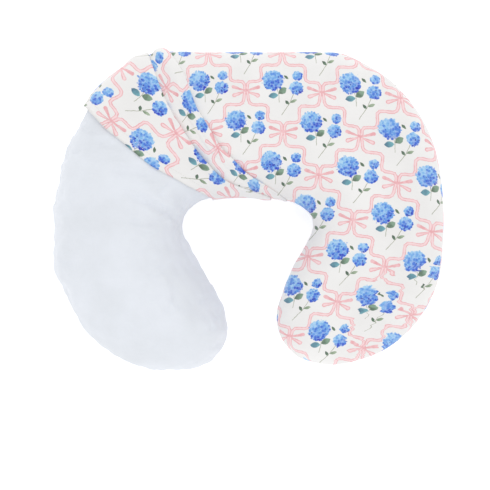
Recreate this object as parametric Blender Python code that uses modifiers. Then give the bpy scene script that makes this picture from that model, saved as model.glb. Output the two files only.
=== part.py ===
"""Nursing pillow: a C-shaped stuffed inner pillow in a zipped slip cover, one object per sub-part.

Metres, +Z up. The pillow lies flat on the floor with its crown towards +Y and its arms towards -Y.
Every skin follows one body form, surface_point(t, phi), at its own depth below the cover's outer
surface. Station t runs from the left arm's end (-11) over the crown (0) to the right arm's end (11).
Angle phi runs round the section: 0 at the outer edge, pi at the waist, positive over the top.
"""

import math

import bmesh
import bpy
import numpy as np
from mathutils import Matrix, Vector

# The plan: the waist and outer edge points of each rib, from the crown's middle to the arm. The
# crown's ribs serve both sides, mirrored; the bare left arm is a little slimmer and leans inwards.
CROWN_RIBS = (
    ((0.0000, 0.0200), (0.0000, 0.2285)),
    ((0.0330, 0.0190), (0.0600, 0.2285)),
    ((0.0610, 0.0142), (0.1200, 0.2285)),
    ((0.0780, 0.0058), (0.1650, 0.2130)),
    ((0.0875, -0.0030), (0.2025, 0.1890)),
)
RIGHT_ARM_RIBS = (
    ((0.0925, -0.0115), (0.2320, 0.1590)),
    ((0.0935, -0.0195), (0.2610, 0.1110)),
    ((0.0912, -0.0310), (0.2755, 0.0580)),
    ((0.0822, -0.0475), (0.2812, -0.0100)),
    ((0.0680, -0.0740), (0.2790, -0.0700)),
    ((0.0500, -0.1140), (0.2680, -0.1150)),
)
LEFT_ARM_RIBS = (
    ((0.0900, -0.0100), (0.2300, 0.1590)),
    ((0.0912, -0.0180), (0.2540, 0.1130)),
    ((0.0905, -0.0310), (0.2735, 0.0555)),
    ((0.0835, -0.0475), (0.2812, -0.0100)),
    ((0.0655, -0.0755), (0.2815, -0.0720)),
    ((0.0425, -0.1150), (0.2660, -0.1170)),
)
RIGHT_TIP, LEFT_TIP = (0.1190, -0.2212), (0.1090, -0.2285)
# How pointed the arm's rounded end is, where it starts and at its tip; 1 and 1 make an ellipse.
RIGHT_END_POWERS, LEFT_END_POWERS = (0.78, 1.10), (0.66, 0.82)
LAST_RIB = len(CROWN_RIBS) + len(RIGHT_ARM_RIBS) - 1
ARMS = {
    1: (np.array(CROWN_RIBS + RIGHT_ARM_RIBS), np.array(RIGHT_TIP), RIGHT_END_POWERS),
    -1: (np.array(CROWN_RIBS + LEFT_ARM_RIBS), np.array(LEFT_TIP), LEFT_END_POWERS),
}

# The section.
SEAM_HEIGHT = 0.064           # the inner pillow's edge seam above the floor
TOP_RISE = 0.080              # from that seam to the crest
BOTTOM_DROP = 0.070           # from that seam down; the floor flattens what would reach lower
TOP_FULLNESS = 2.1            # superellipse exponents, 2 is an ellipse
BOTTOM_FULLNESS = 2.2

# Depth of each layer's inner face below the cover's outer surface, and each layer's thickness.
COVER_DEPTH, COVER_THICKNESS = 0.0010, 0.0010
TAPE_DEPTH, TAPE_THICKNESS = 0.0019, 0.0006
SHELL_DEPTH, SHELL_THICKNESS = 0.0032, 0.0010
FILL_DEPTH = 0.0035
SEAM_GAP_ANGLE = 0.0025       # each panel stops this far short of the seam line
SKIN_END = 0.995              # how much of the rounded arm end the sewn panels cover

# The sleeve's mouth on the left shoulder: it runs straight from the outer edge to the waist.
MOUTH_OUTER = Vector((-0.2370, 0.1520, 0.0))
MOUTH_WAIST = Vector((-0.0632, 0.0237, 0.0))

# The zip at the back of the crown, below the edge. Drops are measured down from SEAM_HEIGHT.
ZIP_DROP = 0.0240             # the chain's centre line
SLOT_HALF = 0.0045            # the cover is open this far either side of it
TAPE_HALF = 0.0110
SLOT_STATIONS = (-1.0, 2.0)
TAPE_STATIONS = (-1.25, 2.25)
CHAIN_START, CHAIN_END = -0.0560, 0.1125
COIL_WIDTH, COIL_HEIGHT = 0.0026, 0.0019
COIL_BASE = -0.0010           # the coil's underside, measured outwards from the cover's surface
CHAIN_GAP = 0.0003
STOP_LENGTH, STOP_HEIGHT = 0.0025, 0.0022

SLIDER_X = 0.1040             # the slider at rest, zip closed
SLIDER_LENGTH, SLIDER_WIDTH = 0.0130, 0.0084
SLIDER_BASE, SLIDER_TOP = -0.0009, 0.0026
SLIDER_CHANNEL_WIDTH, SLIDER_CHANNEL_TOP = 0.0061, 0.0012
BAIL_RADIUS, BAIL_WIRE = 0.0020, 0.0005
BAIL_HEIGHT = 0.0033

TAB_PIVOT_HEIGHT = 0.0036
TAB_LENGTH, TAB_WIDTH, TAB_THICKNESS = 0.0240, 0.0064, 0.0012
TAB_BAR = 0.0006              # half the width of the bar that lies in the bail
TAB_HOLE_END, TAB_HOLE_HALF = 0.0034, 0.0013

LABEL_THICKNESS = 0.0008
PILLOW_LABEL_STATION, COVER_LABEL_STATION = -7.5, 3.6
LABEL_LENGTH, LABEL_WIDTH = 0.0300, 0.0200
LABEL_GAP = 0.0005

# Where the floor's flat runs: at these drops and angles the section gets a line of points.
OUTER_DROPS = (0.050, ZIP_DROP + TAPE_HALF, ZIP_DROP + SLOT_HALF, ZIP_DROP, ZIP_DROP - SLOT_HALF,
               ZIP_DROP - TAPE_HALF)
INNER_DROPS = (0.020, 0.045)
FLOOR_ANGLES = (115.0, 102.0, 78.0, 65.0)
TOP_STEPS = 8
STATIONS = (-11, -10.8, -10.55, -10.3, -10, -9, -8, -7, -6, -5, -4, -3, -2.25, -2, -1.25, -1,
            0, 1, 2, 2.25, 3, 4, 5, 6, 7, 8, 9, 10, 10.3, 10.55, 10.8, 11)
COVER_FIRST_STATION = -7


# ---------------------------------------------------------------- the body form

def even_slope(before, after):
    """A tangent from the steps either side: straight runs stay straight and nothing overshoots."""
    product = before * after
    total = np.where(product > 0.0, before + after, 1.0)
    return np.where(product > 0.0, 2.0 * product / total, 0.0)


def arm_end(side, turn):
    """Waist point, outer point and height share on an arm's rounded end, turn from 0 to 1."""
    ribs, tip, (first_power, tip_power) = ARMS[side]
    angle = turn * math.pi / 2.0
    middle = ribs[LAST_RIB].mean(axis=0)
    narrowing = math.cos(angle) ** (first_power + (tip_power - first_power) * turn)
    half = (ribs[LAST_RIB][1] - middle) * narrowing
    centre = middle + (tip - middle) * math.sin(angle)
    return centre - half, centre + half, math.cos(angle)


def rib_at(t):
    """Waist point, outer point and height share at station t, by a smooth curve through the ribs."""
    side = -1 if t < 0.0 else 1
    mirror = np.array((side, 1.0))
    t = abs(t)
    if t >= LAST_RIB:
        waist, outer, share = arm_end(side, min(t - LAST_RIB, 1.0))
        return waist * mirror, outer * mirror, share
    ribs = ARMS[side][0]
    beyond = np.array(arm_end(side, 0.25)[:2])
    points = np.concatenate(((ribs[1] * (-1.0, 1.0))[None], ribs, beyond[None]))
    i, s = int(t) + 1, t - int(t)
    steps = np.diff(points[i - 1:i + 3], axis=0)
    start, end = even_slope(steps[0], steps[1]), even_slope(steps[1], steps[2])
    rib = ((1 + 2 * s) * (1 - s) ** 2 * points[i] + s * (1 - s) ** 2 * start
           + s * s * (3 - 2 * s) * points[i + 1] + s * s * (s - 1) * end)
    return rib[0] * mirror, rib[1] * mirror, 1.0


def power(value, exponent):
    return math.copysign(abs(value) ** exponent, value)


def surface_point(t, phi):
    """A point of the cover's outer surface, before the floor flattens it."""
    waist, outer, share = rib_at(t)
    above = math.sin(phi) > 0.0
    exponent = 2.0 / (TOP_FULLNESS if above else BOTTOM_FULLNESS)
    plan = (waist + outer) / 2.0 + (outer - waist) / 2.0 * power(math.cos(phi), exponent)
    reach = (TOP_RISE if above else BOTTOM_DROP) * share
    return np.array((*plan, SEAM_HEIGHT + reach * power(math.sin(phi), exponent)))


def surface_normal(t, phi):
    """The outward normal, from small steps either way; at the very tip it is square to the last rib."""
    step = 1e-4
    along = surface_point(t + step, phi) - surface_point(t - step, phi)
    around = surface_point(t, phi + step) - surface_point(t, phi - step)
    normal = np.cross(around, along)
    if abs(t) > LAST_RIB + 0.999:
        side = -1 if t < 0.0 else 1
        waist, outer = ARMS[side][0][LAST_RIB]
        normal = np.array((side * (outer - waist)[1], -(outer - waist)[0], 0.0))
    return normal / np.linalg.norm(normal)


def layer_point(t, phi, depth):
    """The body form at a depth below the cover's outer surface, flattened by the floor."""
    point = surface_point(t, phi) - surface_normal(t, phi) * depth
    point[2] = max(point[2], depth)
    return point


def angle_at_drop(drop):
    """The section angle whose point lies this far below the edge seam."""
    return math.asin((drop / BOTTOM_DROP) ** (BOTTOM_FULLNESS / 2.0))


def section_lines():
    """The angles of all lengthwise lines, from the waist under the pillow, round, and back."""
    lines = [-math.pi]
    lines += [angle_at_drop(drop) - math.pi for drop in INNER_DROPS]
    lines += [-math.radians(angle) for angle in FLOOR_ANGLES]
    lines += [-angle_at_drop(drop) for drop in OUTER_DROPS]
    lines += [math.pi * step / TOP_STEPS for step in range(TOP_STEPS + 1)]
    return lines


SECTION = section_lines()
OUTER_SEAM = SECTION.index(0.0)
SLOT_TOP = SECTION.index(-angle_at_drop(ZIP_DROP - SLOT_HALF))
SLOT_BOTTOM = SECTION.index(-angle_at_drop(ZIP_DROP + SLOT_HALF))
CHAIN_LINE = SECTION.index(-angle_at_drop(ZIP_DROP))
TAPE_TOP = SECTION.index(-angle_at_drop(ZIP_DROP - TAPE_HALF))
TAPE_BOTTOM = SECTION.index(-angle_at_drop(ZIP_DROP + TAPE_HALF))


# ---------------------------------------------------------------- objects and materials

def clear_scene():
    for thing in list(bpy.data.objects):
        bpy.data.objects.remove(thing, do_unlink=True)


def new_collection(name):
    collection = bpy.data.collections.new(name)
    bpy.context.scene.collection.children.link(collection)
    return collection


def principled(name, colour, roughness, metallic=0.0):
    material = bpy.data.materials.new(name)
    material.use_nodes = True
    shader = material.node_tree.nodes["Principled BSDF"]
    shader.inputs["Base Color"].default_value = (*colour, 1.0)
    shader.inputs["Roughness"].default_value = roughness
    shader.inputs["Metallic"].default_value = metallic
    return material


def fibre_fill():
    return principled("fibre_fill", (0.92, 0.92, 0.90), 0.95)


def white_cloth():
    return principled("white_cloth", (0.86, 0.88, 0.92), 0.90)


def printed_cotton():
    return principled("printed_cotton", (0.78, 0.76, 0.84), 0.88)


def plain_cotton():
    return principled("plain_cotton", (0.92, 0.91, 0.88), 0.88)


def zip_tape():
    return principled("zip_tape", (0.93, 0.92, 0.90), 0.85)


def zip_coil():
    return principled("zip_coil", (0.90, 0.89, 0.87), 0.45)


def zip_metal():
    return principled("zip_metal", (0.80, 0.80, 0.80), 0.30, 1.0)


def label_satin():
    return principled("label_satin", (0.95, 0.95, 0.95), 0.50)


def add_mesh(name, shape, collection, material, matrix=None):
    """Turn a bmesh into an object of its own."""
    mesh = bpy.data.meshes.new(name)
    shape.to_mesh(mesh)
    shape.free()
    mesh.materials.append(material)
    thing = bpy.data.objects.new(name, mesh)
    collection.objects.link(thing)
    if matrix is not None:
        thing.matrix_world = matrix
    mesh.shade_smooth()
    mesh.set_sharp_from_angle(angle=math.radians(40.0))
    return thing


# ---------------------------------------------------------------- skins that follow the body form

def form_grid(stations, angles, depth):
    """A grid whose points are moved onto the body form, with its faces pointing out."""
    shape = bmesh.new()
    bmesh.ops.create_grid(shape, x_segments=len(stations) - 1, y_segments=len(angles) - 1, size=0.5)
    for vertex in shape.verts:
        t = stations[round((vertex.co.x + 0.5) * (len(stations) - 1))]
        phi = angles[round((vertex.co.y + 0.5) * (len(angles) - 1))]
        vertex.co = layer_point(t, phi, depth)
    bmesh.ops.reverse_faces(shape, faces=shape.faces)
    return shape


def panel_stations(first, last):
    """The stations from first to last, with the arm ends held back to where the panels stop."""
    end = LAST_RIB + SKIN_END
    return [max(-end, min(end, t)) for t in STATIONS if first <= t <= last]


def panel_angles(low, high):
    """The lengthwise lines low to high, with the first and last drawn back from their seams."""
    angles = SECTION[low:high + 1]
    angles[0] += SEAM_GAP_ANGLE
    angles[-1] -= SEAM_GAP_ANGLE
    return angles


def thicken(thing, thickness):
    """Grow the open skin outwards by its thickness."""
    wall = thing.modifiers.new("wall", "SOLIDIFY")
    wall.thickness = thickness
    wall.offset = 1.0
    return thing


def cut_at_mouth(shape):
    """Remove what lies beyond the sleeve's mouth; only the left half is cut."""
    left = [face for face in shape.faces if face.calc_center_median().x < 0.0]
    edges = {edge for face in left for edge in face.edges}
    corners = {vertex for face in left for vertex in face.verts}
    along = MOUTH_WAIST - MOUTH_OUTER
    towards_arm = Vector((along.y, -along.x, 0.0)).normalized()
    bmesh.ops.bisect_plane(shape, geom=left + list(edges) + list(corners), dist=1e-6,
                           plane_co=MOUTH_OUTER, plane_no=towards_arm, clear_outer=True)


def cut_zip_slot(shape):
    """Open the cover for the zip, between the slot's lines and stations."""
    lower, upper = (layer_point(0.0, SECTION[line], COVER_DEPTH).tolist()
                    for line in (SLOT_BOTTOM, SLOT_TOP))
    start, end = (surface_point(t, SECTION[CHAIN_LINE])[0] for t in SLOT_STATIONS)
    inside = []
    for face in shape.faces:
        centre = face.calc_center_median()
        in_length = start < centre.x < end
        in_height = lower[2] < centre.z < upper[2]
        if in_length and in_height and centre.y > 0.15:
            inside.append(face)
    bmesh.ops.delete(shape, geom=inside, context="FACES")


def make_fill(parts):
    shape = form_grid(STATIONS, SECTION, FILL_DEPTH)
    bmesh.ops.remove_doubles(shape, verts=shape.verts, dist=1e-5)
    return add_mesh("pillow_fill", shape, parts, fibre_fill())


def make_pillow_panels(parts):
    stations = panel_stations(STATIONS[0], STATIONS[-1])
    cloth = white_cloth()
    top = form_grid(stations, panel_angles(OUTER_SEAM, len(SECTION) - 1), SHELL_DEPTH)
    bottom = form_grid(stations, panel_angles(0, OUTER_SEAM), SHELL_DEPTH)
    thicken(add_mesh("pillow_top_panel", top, parts, cloth), SHELL_THICKNESS)
    thicken(add_mesh("pillow_bottom_panel", bottom, parts, cloth), SHELL_THICKNESS)


def make_cover_panels(parts):
    stations = panel_stations(COVER_FIRST_STATION, STATIONS[-1])
    top = form_grid(stations, panel_angles(SLOT_TOP, len(SECTION) - 1), COVER_DEPTH)
    bottom = form_grid(stations, panel_angles(0, SLOT_TOP), COVER_DEPTH)
    cut_at_mouth(top)
    cut_zip_slot(bottom)
    cut_at_mouth(bottom)
    thicken(add_mesh("cover_top_panel", top, parts, printed_cotton()), COVER_THICKNESS)
    thicken(add_mesh("cover_bottom_panel", bottom, parts, plain_cotton()), COVER_THICKNESS)


# ---------------------------------------------------------------- the zip

def zip_frame(x):
    """A frame on the chain's line at x: X along the zip, Y up the cloth, Z straight out of it."""
    origin = surface_point(0.5, SECTION[CHAIN_LINE])
    normal = surface_normal(0.5, SECTION[CHAIN_LINE])
    along = Vector((-1.0, 0.0, 0.0))
    out = Vector((0.0, normal[1], normal[2])).normalized()
    up = out.cross(along)
    turn = Matrix((along, up, out)).transposed().to_4x4()
    return Matrix.Translation((x, origin[1], origin[2])) @ turn


def block(low, high, rounding=0.0):
    """A box between two corners, its edges rounded."""
    shape = bmesh.new()
    bmesh.ops.create_cube(shape, size=1.0)
    size, middle = Vector(high) - Vector(low), (Vector(high) + Vector(low)) / 2.0
    bmesh.ops.scale(shape, vec=size, verts=shape.verts)
    bmesh.ops.translate(shape, vec=middle, verts=shape.verts)
    if rounding:
        bmesh.ops.bevel(shape, geom=shape.edges, offset=rounding, offset_type="OFFSET", segments=2,
                        profile=0.5, affect="EDGES", material=-1)
    return shape


def make_tapes(parts):
    stations = panel_stations(*TAPE_STATIONS)
    cloth = zip_tape()
    for name, low, high in (("zip_tape_lower", TAPE_BOTTOM, CHAIN_LINE),
                            ("zip_tape_upper", CHAIN_LINE, TAPE_TOP)):
        shape = form_grid(stations, panel_angles(low, high), TAPE_DEPTH)
        thicken(add_mesh(name, shape, parts, cloth), TAPE_THICKNESS)


def make_coils(parts):
    """Each coil of teeth as a plain bar with the coil's outer size."""
    nylon = zip_coil()
    middle = (CHAIN_START + CHAIN_END) / 2.0
    reach = (CHAIN_END - CHAIN_START) / 2.0
    for name, side in (("zip_coil_upper", 1.0), ("zip_coil_lower", -1.0)):
        near, far = side * CHAIN_GAP / 2.0, side * (CHAIN_GAP / 2.0 + COIL_WIDTH)
        shape = block((-reach, min(near, far), COIL_BASE),
                      (reach, max(near, far), COIL_BASE + COIL_HEIGHT), COIL_HEIGHT * 0.3)
        add_mesh(name, shape, parts, nylon, zip_frame(middle))


def make_stops(parts):
    metal = zip_metal()
    half = CHAIN_GAP / 2.0 + COIL_WIDTH
    top = COIL_BASE + STOP_HEIGHT
    spans = (("zip_top_stop_upper", CHAIN_END + CHAIN_GAP + STOP_LENGTH / 2.0, CHAIN_GAP / 2.0, half),
             ("zip_top_stop_lower", CHAIN_END + CHAIN_GAP + STOP_LENGTH / 2.0, -half, -CHAIN_GAP / 2.0),
             ("zip_bottom_stop", CHAIN_START - CHAIN_GAP - STOP_LENGTH / 2.0, -half, half))
    for name, x, low, high in spans:
        shape = block((-STOP_LENGTH / 2.0, low, COIL_BASE), (STOP_LENGTH / 2.0, high, top), 0.0004)
        add_mesh(name, shape, parts, metal, zip_frame(x))


def make_bail(cutters, frame):
    """The wire ring whose upper half stands out of the slider as its bail."""
    bpy.ops.mesh.primitive_torus_add(major_segments=20, minor_segments=8, major_radius=BAIL_RADIUS,
                                     minor_radius=BAIL_WIRE)
    ring = bpy.context.object
    ring.name = "bail_ring"
    upright = Matrix.Rotation(math.pi / 2.0, 4, "X")
    ring.matrix_world = frame @ Matrix.Translation((0.0, 0.0, BAIL_HEIGHT)) @ upright
    for owner in list(ring.users_collection):
        owner.objects.unlink(ring)
    cutters.objects.link(ring)
    return ring


def hide_tool(tool):
    tool.hide_render = True
    tool.display_type = "WIRE"


def join_or_cut(thing, tool, operation):
    step = thing.modifiers.new(operation.lower(), "BOOLEAN")
    step.operation = operation
    step.object = tool
    step.solver = "EXACT"
    hide_tool(tool)


def make_slider(parts, cutters):
    """The slider: a plate over the chain, a flange down each side, and a bail on top."""
    frame = zip_frame(SLIDER_X)
    reach, half = SLIDER_LENGTH / 2.0, SLIDER_WIDTH / 2.0
    shape = block((-reach, -half, SLIDER_BASE), (reach, half, SLIDER_TOP), 0.0005)
    metal = zip_metal()
    slider = add_mesh("zip_slider", shape, parts, metal, frame)
    channel = block((-2.0 * reach, -SLIDER_CHANNEL_WIDTH / 2.0, 2.0 * SLIDER_BASE),
                    (2.0 * reach, SLIDER_CHANNEL_WIDTH / 2.0, SLIDER_CHANNEL_TOP))
    channel = add_mesh("slider_channel", channel, cutters, metal, frame)
    join_or_cut(slider, make_bail(cutters, frame), "UNION")
    join_or_cut(slider, channel, "DIFFERENCE")
    return slider


def ring_points(low, high, half, corner, steps=3):
    """A rounded rectangle between x low and x high, as a list of points."""
    centres = ((high - corner, half - corner), (low + corner, half - corner),
               (low + corner, corner - half), (high - corner, corner - half))
    points = []
    for quarter, (x, y) in enumerate(centres):
        for step in range(steps + 1):
            angle = (quarter + step / steps) * math.pi / 2.0
            points.append((x + corner * math.cos(angle), y + corner * math.sin(angle)))
    return points


def make_pull_tab(parts):
    """The pull tab: a flat plate with a hole for the bail, its origin on its hinge."""
    outline = bpy.data.curves.new("zip_pull_tab", "CURVE")
    outline.dimensions = "2D"
    outline.fill_mode = "BOTH"
    outline.extrude = TAB_THICKNESS / 2.0
    loops = (ring_points(-TAB_BAR, TAB_LENGTH, TAB_WIDTH / 2.0, 0.0006),
             ring_points(TAB_BAR, TAB_HOLE_END, TAB_HOLE_HALF, 0.0004))
    for points in loops:
        spline = outline.splines.new("POLY")
        spline.points.add(len(points) - 1)
        for target, (x, y) in zip(spline.points, points):
            target.co = (x, y, 0.0, 1.0)
        spline.use_cyclic_u = True
    outline.materials.append(zip_metal())
    tab = bpy.data.objects.new("zip_pull_tab", outline)
    parts.objects.link(tab)
    tab.matrix_world = zip_frame(SLIDER_X) @ Matrix.Translation((0.0, 0.0, TAB_PIVOT_HEIGHT))
    return tab


# ---------------------------------------------------------------- labels

def label_frame(station, drop, height):
    """A frame on the side of the pillow: X along the edge, Y up the cloth, Z out of it."""
    phi = -angle_at_drop(drop)
    out = Vector(surface_normal(station, phi))
    ahead, behind = surface_point(station + 0.01, phi), surface_point(station - 0.01, phi)
    along = -Vector(ahead - behind)
    along = (along - out * along.dot(out)).normalized()
    up = out.cross(along)
    turn = Matrix((along, up, out)).transposed().to_4x4()
    return Matrix.Translation(Vector(surface_point(station, phi)) + out * height) @ turn


def make_labels(parts):
    """A blank folded label under each edge: one on the bare arm, one on the cover's shoulder."""
    satin = label_satin()
    shell_surface = SHELL_THICKNESS - SHELL_DEPTH
    drop = ZIP_DROP - SLOT_HALF + LABEL_LENGTH / 2.0
    for name, station, surface in (("pillow_care_label", PILLOW_LABEL_STATION, shell_surface),
                                   ("cover_care_label", COVER_LABEL_STATION, 0.0)):
        shape = block((-LABEL_WIDTH / 2.0, -LABEL_LENGTH / 2.0, 0.0),
                      (LABEL_WIDTH / 2.0, LABEL_LENGTH / 2.0, LABEL_THICKNESS))
        add_mesh(name, shape, parts, satin, label_frame(station, drop, surface + LABEL_GAP))


def main():
    clear_scene()
    parts = new_collection("nursing_pillow")
    cutters = new_collection("cutters")
    make_fill(parts)
    make_pillow_panels(parts)
    make_cover_panels(parts)
    make_tapes(parts)
    make_coils(parts)
    make_stops(parts)
    make_slider(parts, cutters)
    make_pull_tab(parts)
    make_labels(parts)


main()
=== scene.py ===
"""Nursing pillow, the looks: a C-shaped stuffed pillow in a printed cotton slip cover with a zip.

Metres, +Z up. The cover is pushed back on the left shoulder, in two rolled folds, so that one arm of
the inner pillow is bare. Every skin follows one body form, surface(t, phi), at its own depth: station
t runs from the left arm's end (-11) over the crown (0) to the right arm's end (11), and angle phi runs
round the section, 0 at the outer edge, pi at the waist, positive over the top.
"""

import math

import bmesh
import bpy
import numpy as np
from bpy.props import FloatProperty, FloatVectorProperty, IntProperty, PointerProperty
from mathutils import Matrix, Vector


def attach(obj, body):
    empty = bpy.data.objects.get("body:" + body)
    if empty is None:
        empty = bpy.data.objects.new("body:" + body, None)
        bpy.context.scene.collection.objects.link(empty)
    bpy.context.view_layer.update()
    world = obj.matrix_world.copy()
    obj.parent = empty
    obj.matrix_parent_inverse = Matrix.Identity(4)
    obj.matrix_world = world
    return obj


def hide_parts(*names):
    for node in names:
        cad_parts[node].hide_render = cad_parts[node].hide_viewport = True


bl_info = {
    "name": "Nursing Pillow",
    "version": (1, 0, 0),
    "blender": (4, 5, 0),
    "location": "View3D > Sidebar > Nursing Pillow",
    "description": "Makes a C-shaped nursing pillow with its printed, zipped cover",
    "category": "Add Mesh",
}

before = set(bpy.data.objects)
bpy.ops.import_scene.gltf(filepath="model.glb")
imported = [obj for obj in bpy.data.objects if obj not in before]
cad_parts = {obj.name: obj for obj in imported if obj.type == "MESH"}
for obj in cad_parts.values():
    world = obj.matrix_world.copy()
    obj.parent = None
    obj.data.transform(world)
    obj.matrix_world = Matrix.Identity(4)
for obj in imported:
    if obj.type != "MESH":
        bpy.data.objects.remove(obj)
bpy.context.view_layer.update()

# ---------------------------------------------------------------- the body form

CROWN_RIBS = (
    ((0.0000, 0.0200), (0.0000, 0.2285)),
    ((0.0330, 0.0190), (0.0600, 0.2285)),
    ((0.0610, 0.0142), (0.1200, 0.2285)),
    ((0.0780, 0.0058), (0.1650, 0.2130)),
    ((0.0875, -0.0030), (0.2025, 0.1890)),
)
RIGHT_ARM_RIBS = (
    ((0.0925, -0.0115), (0.2320, 0.1590)),
    ((0.0935, -0.0195), (0.2610, 0.1110)),
    ((0.0912, -0.0310), (0.2755, 0.0580)),
    ((0.0822, -0.0475), (0.2812, -0.0100)),
    ((0.0680, -0.0740), (0.2790, -0.0700)),
    ((0.0500, -0.1140), (0.2680, -0.1150)),
)
LEFT_ARM_RIBS = (
    ((0.0900, -0.0100), (0.2300, 0.1590)),
    ((0.0912, -0.0180), (0.2540, 0.1130)),
    ((0.0905, -0.0310), (0.2735, 0.0555)),
    ((0.0835, -0.0475), (0.2812, -0.0100)),
    ((0.0655, -0.0755), (0.2815, -0.0720)),
    ((0.0425, -0.1150), (0.2660, -0.1170)),
)
RIGHT_TIP, LEFT_TIP = (0.1190, -0.2212), (0.1090, -0.2285)
RIGHT_END_POWERS, LEFT_END_POWERS = (0.78, 1.10), (0.66, 0.82)
LAST_RIB = len(CROWN_RIBS) + len(RIGHT_ARM_RIBS) - 1
TIP = LAST_RIB + 1
ARMS = {
    1: (np.array(CROWN_RIBS + RIGHT_ARM_RIBS), np.array(RIGHT_TIP), RIGHT_END_POWERS),
    -1: (np.array(CROWN_RIBS + LEFT_ARM_RIBS), np.array(LEFT_TIP), LEFT_END_POWERS),
}
SEAM_HEIGHT = 0.064
TOP_RISE, BOTTOM_DROP = 0.080, 0.070
TOP_FULLNESS, BOTTOM_FULLNESS = 2.1, 2.2

COVER_DEPTH, SHELL_DEPTH, TAPE_DEPTH = 0.0010, 0.0022, 0.0016
ZIP_DROP, SLOT_HALF, TAPE_HALF = 0.0240, 0.0045, 0.0110
SLOT_STATIONS, TAPE_STATIONS = (-1.0, 2.0), (-1.25, 2.25)
BACK_OF_CROWN = 0.15  # the cloth past this y is at the back of the crown, where the slot is
CHAIN_START, CHAIN_END = -0.0560, 0.1125
LABEL_LENGTH, LABEL_WIDTH = 0.0300, 0.0200
PILLOW_LABEL_STATION, COVER_LABEL_STATION = -7.5, 3.6


def even_slope(before, after):
    """A tangent from the steps either side: straight runs stay straight and nothing overshoots."""
    product = before * after
    total = np.where(product > 0.0, before + after, 1.0)
    return np.where(product > 0.0, 2.0 * product / total, 0.0)


def smooth_path(knots, values, at):
    """Values along a smooth curve through rows of values, one row for each knot."""
    knots = np.asarray(knots, float)
    values = np.asarray(values, float).reshape(len(knots), -1)
    at = np.clip(at, knots[0], knots[-1])
    i = np.clip(np.searchsorted(knots, at, side="right") - 1, 0, len(knots) - 2)
    width = np.diff(knots)[:, None]
    steps = np.diff(values, axis=0) / width
    slopes = np.concatenate((steps[:1], even_slope(steps[:-1], steps[1:]), steps[-1:]))
    s = ((at - knots[i]) / width[i, 0])[..., None]
    start, end = slopes[i] * width[i], slopes[i + 1] * width[i]
    return ((1 + 2 * s) * (1 - s) ** 2 * values[i] + s * (1 - s) ** 2 * start
            + s * s * (3 - 2 * s) * values[i + 1] + s * s * (s - 1) * end)


def arm_end(side, turn):
    """Waist and outer points as rows of four, and height shares, on an arm's rounded end."""
    ribs, tip, (first_power, tip_power) = ARMS[side]
    angle = turn * math.pi / 2.0
    cosine = np.maximum(np.cos(angle), 0.0)
    middle = ribs[LAST_RIB].mean(axis=0)
    narrowing = cosine ** (first_power + (tip_power - first_power) * turn)
    half = (ribs[LAST_RIB][1] - middle) * narrowing[..., None]
    centre = middle + (tip - middle) * np.sin(angle)[..., None]
    return np.concatenate((centre - half, centre + half), axis=-1), cosine


def ribs_at(t):
    """Waist points, outer points and height shares at the stations t."""
    t = np.asarray(t, float)
    both = np.empty(t.shape + (4,))
    share = np.ones(t.shape)
    for side, (ribs, _, _) in ARMS.items():
        mine = (t < 0.0) if side < 0 else (t >= 0.0)
        u = np.abs(t[mine])
        turned, turned_share = arm_end(side, np.clip(u - LAST_RIB, 0.0, 1.0))
        beyond, _ = arm_end(side, np.array((0.25,)))
        mirrored = (ribs[1] * (-1.0, 1.0)).reshape(1, 4)
        rows = np.concatenate((mirrored, ribs.reshape(-1, 4), beyond))
        straight = smooth_path(np.arange(-1.0, len(rows) - 1.0), rows, np.minimum(u, LAST_RIB))
        rounded = u >= LAST_RIB
        both[mine] = np.where(rounded[..., None], turned, straight) * (side, 1.0, side, 1.0)
        share[mine] = np.where(rounded, turned_share, 1.0)
    return both[..., :2], both[..., 2:], share


def signed_power(value, exponent):
    return np.copysign(np.abs(value) ** exponent, value)


def surface(t, phi):
    """Points of the cover's outer surface, before the floor flattens it."""
    t, phi = np.broadcast_arrays(np.asarray(t, float), np.asarray(phi, float))
    waist, outer, share = ribs_at(t)
    above = np.sin(phi) > 0.0
    exponent = 2.0 / np.where(above, TOP_FULLNESS, BOTTOM_FULLNESS)
    across = signed_power(np.cos(phi), exponent)[..., None]
    plan = (waist + outer) / 2.0 + (outer - waist) / 2.0 * across
    reach = np.where(above, TOP_RISE, BOTTOM_DROP) * share
    height = SEAM_HEIGHT + reach * signed_power(np.sin(phi), exponent)
    return np.concatenate((plan, height[..., None]), axis=-1)


def surface_normal(t, phi):
    """Outward normals, from small steps either way; at the very tips, square to the last rib."""
    t, phi = np.broadcast_arrays(np.asarray(t, float), np.asarray(phi, float))
    step = 1e-4
    low, high = np.maximum(t - step, -TIP), np.minimum(t + step, TIP)
    along = surface(high, phi) - surface(low, phi)
    around = surface(t, phi + step) - surface(t, phi - step)
    normal = np.cross(around, along)
    for side, (ribs, _, _) in ARMS.items():
        waist, outer = ribs[LAST_RIB]
        square = (side * (outer - waist)[1], -(outer - waist)[0], 0.0)
        normal = np.where((side * t > LAST_RIB + 0.999)[..., None], square, normal)
    return normal / np.maximum(np.linalg.norm(normal, axis=-1, keepdims=True), 1e-12)


def layer(t, phi, depth):
    """The body form at a depth below the cover's outer surface, flattened by the floor."""
    points = surface(t, phi) - surface_normal(t, phi) * np.asarray(depth)[..., None]
    points[..., 2] = np.maximum(points[..., 2], np.maximum(depth, 0.0))
    return points


def angle_at_drop(drop):
    """The section angle whose point lies this far below the edge seam."""
    return math.asin((drop / BOTTOM_DROP) ** (BOTTOM_FULLNESS / 2.0))


SLOT_TOP = -angle_at_drop(ZIP_DROP - SLOT_HALF)
SLOT_BOTTOM = -angle_at_drop(ZIP_DROP + SLOT_HALF)
CHAIN_LINE = -angle_at_drop(ZIP_DROP)
TAPE_TOP = -angle_at_drop(ZIP_DROP - TAPE_HALF)
TAPE_BOTTOM = -angle_at_drop(ZIP_DROP + TAPE_HALF)

# ---------------------------------------------------------------- the sleeve's folds, in plan

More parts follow.
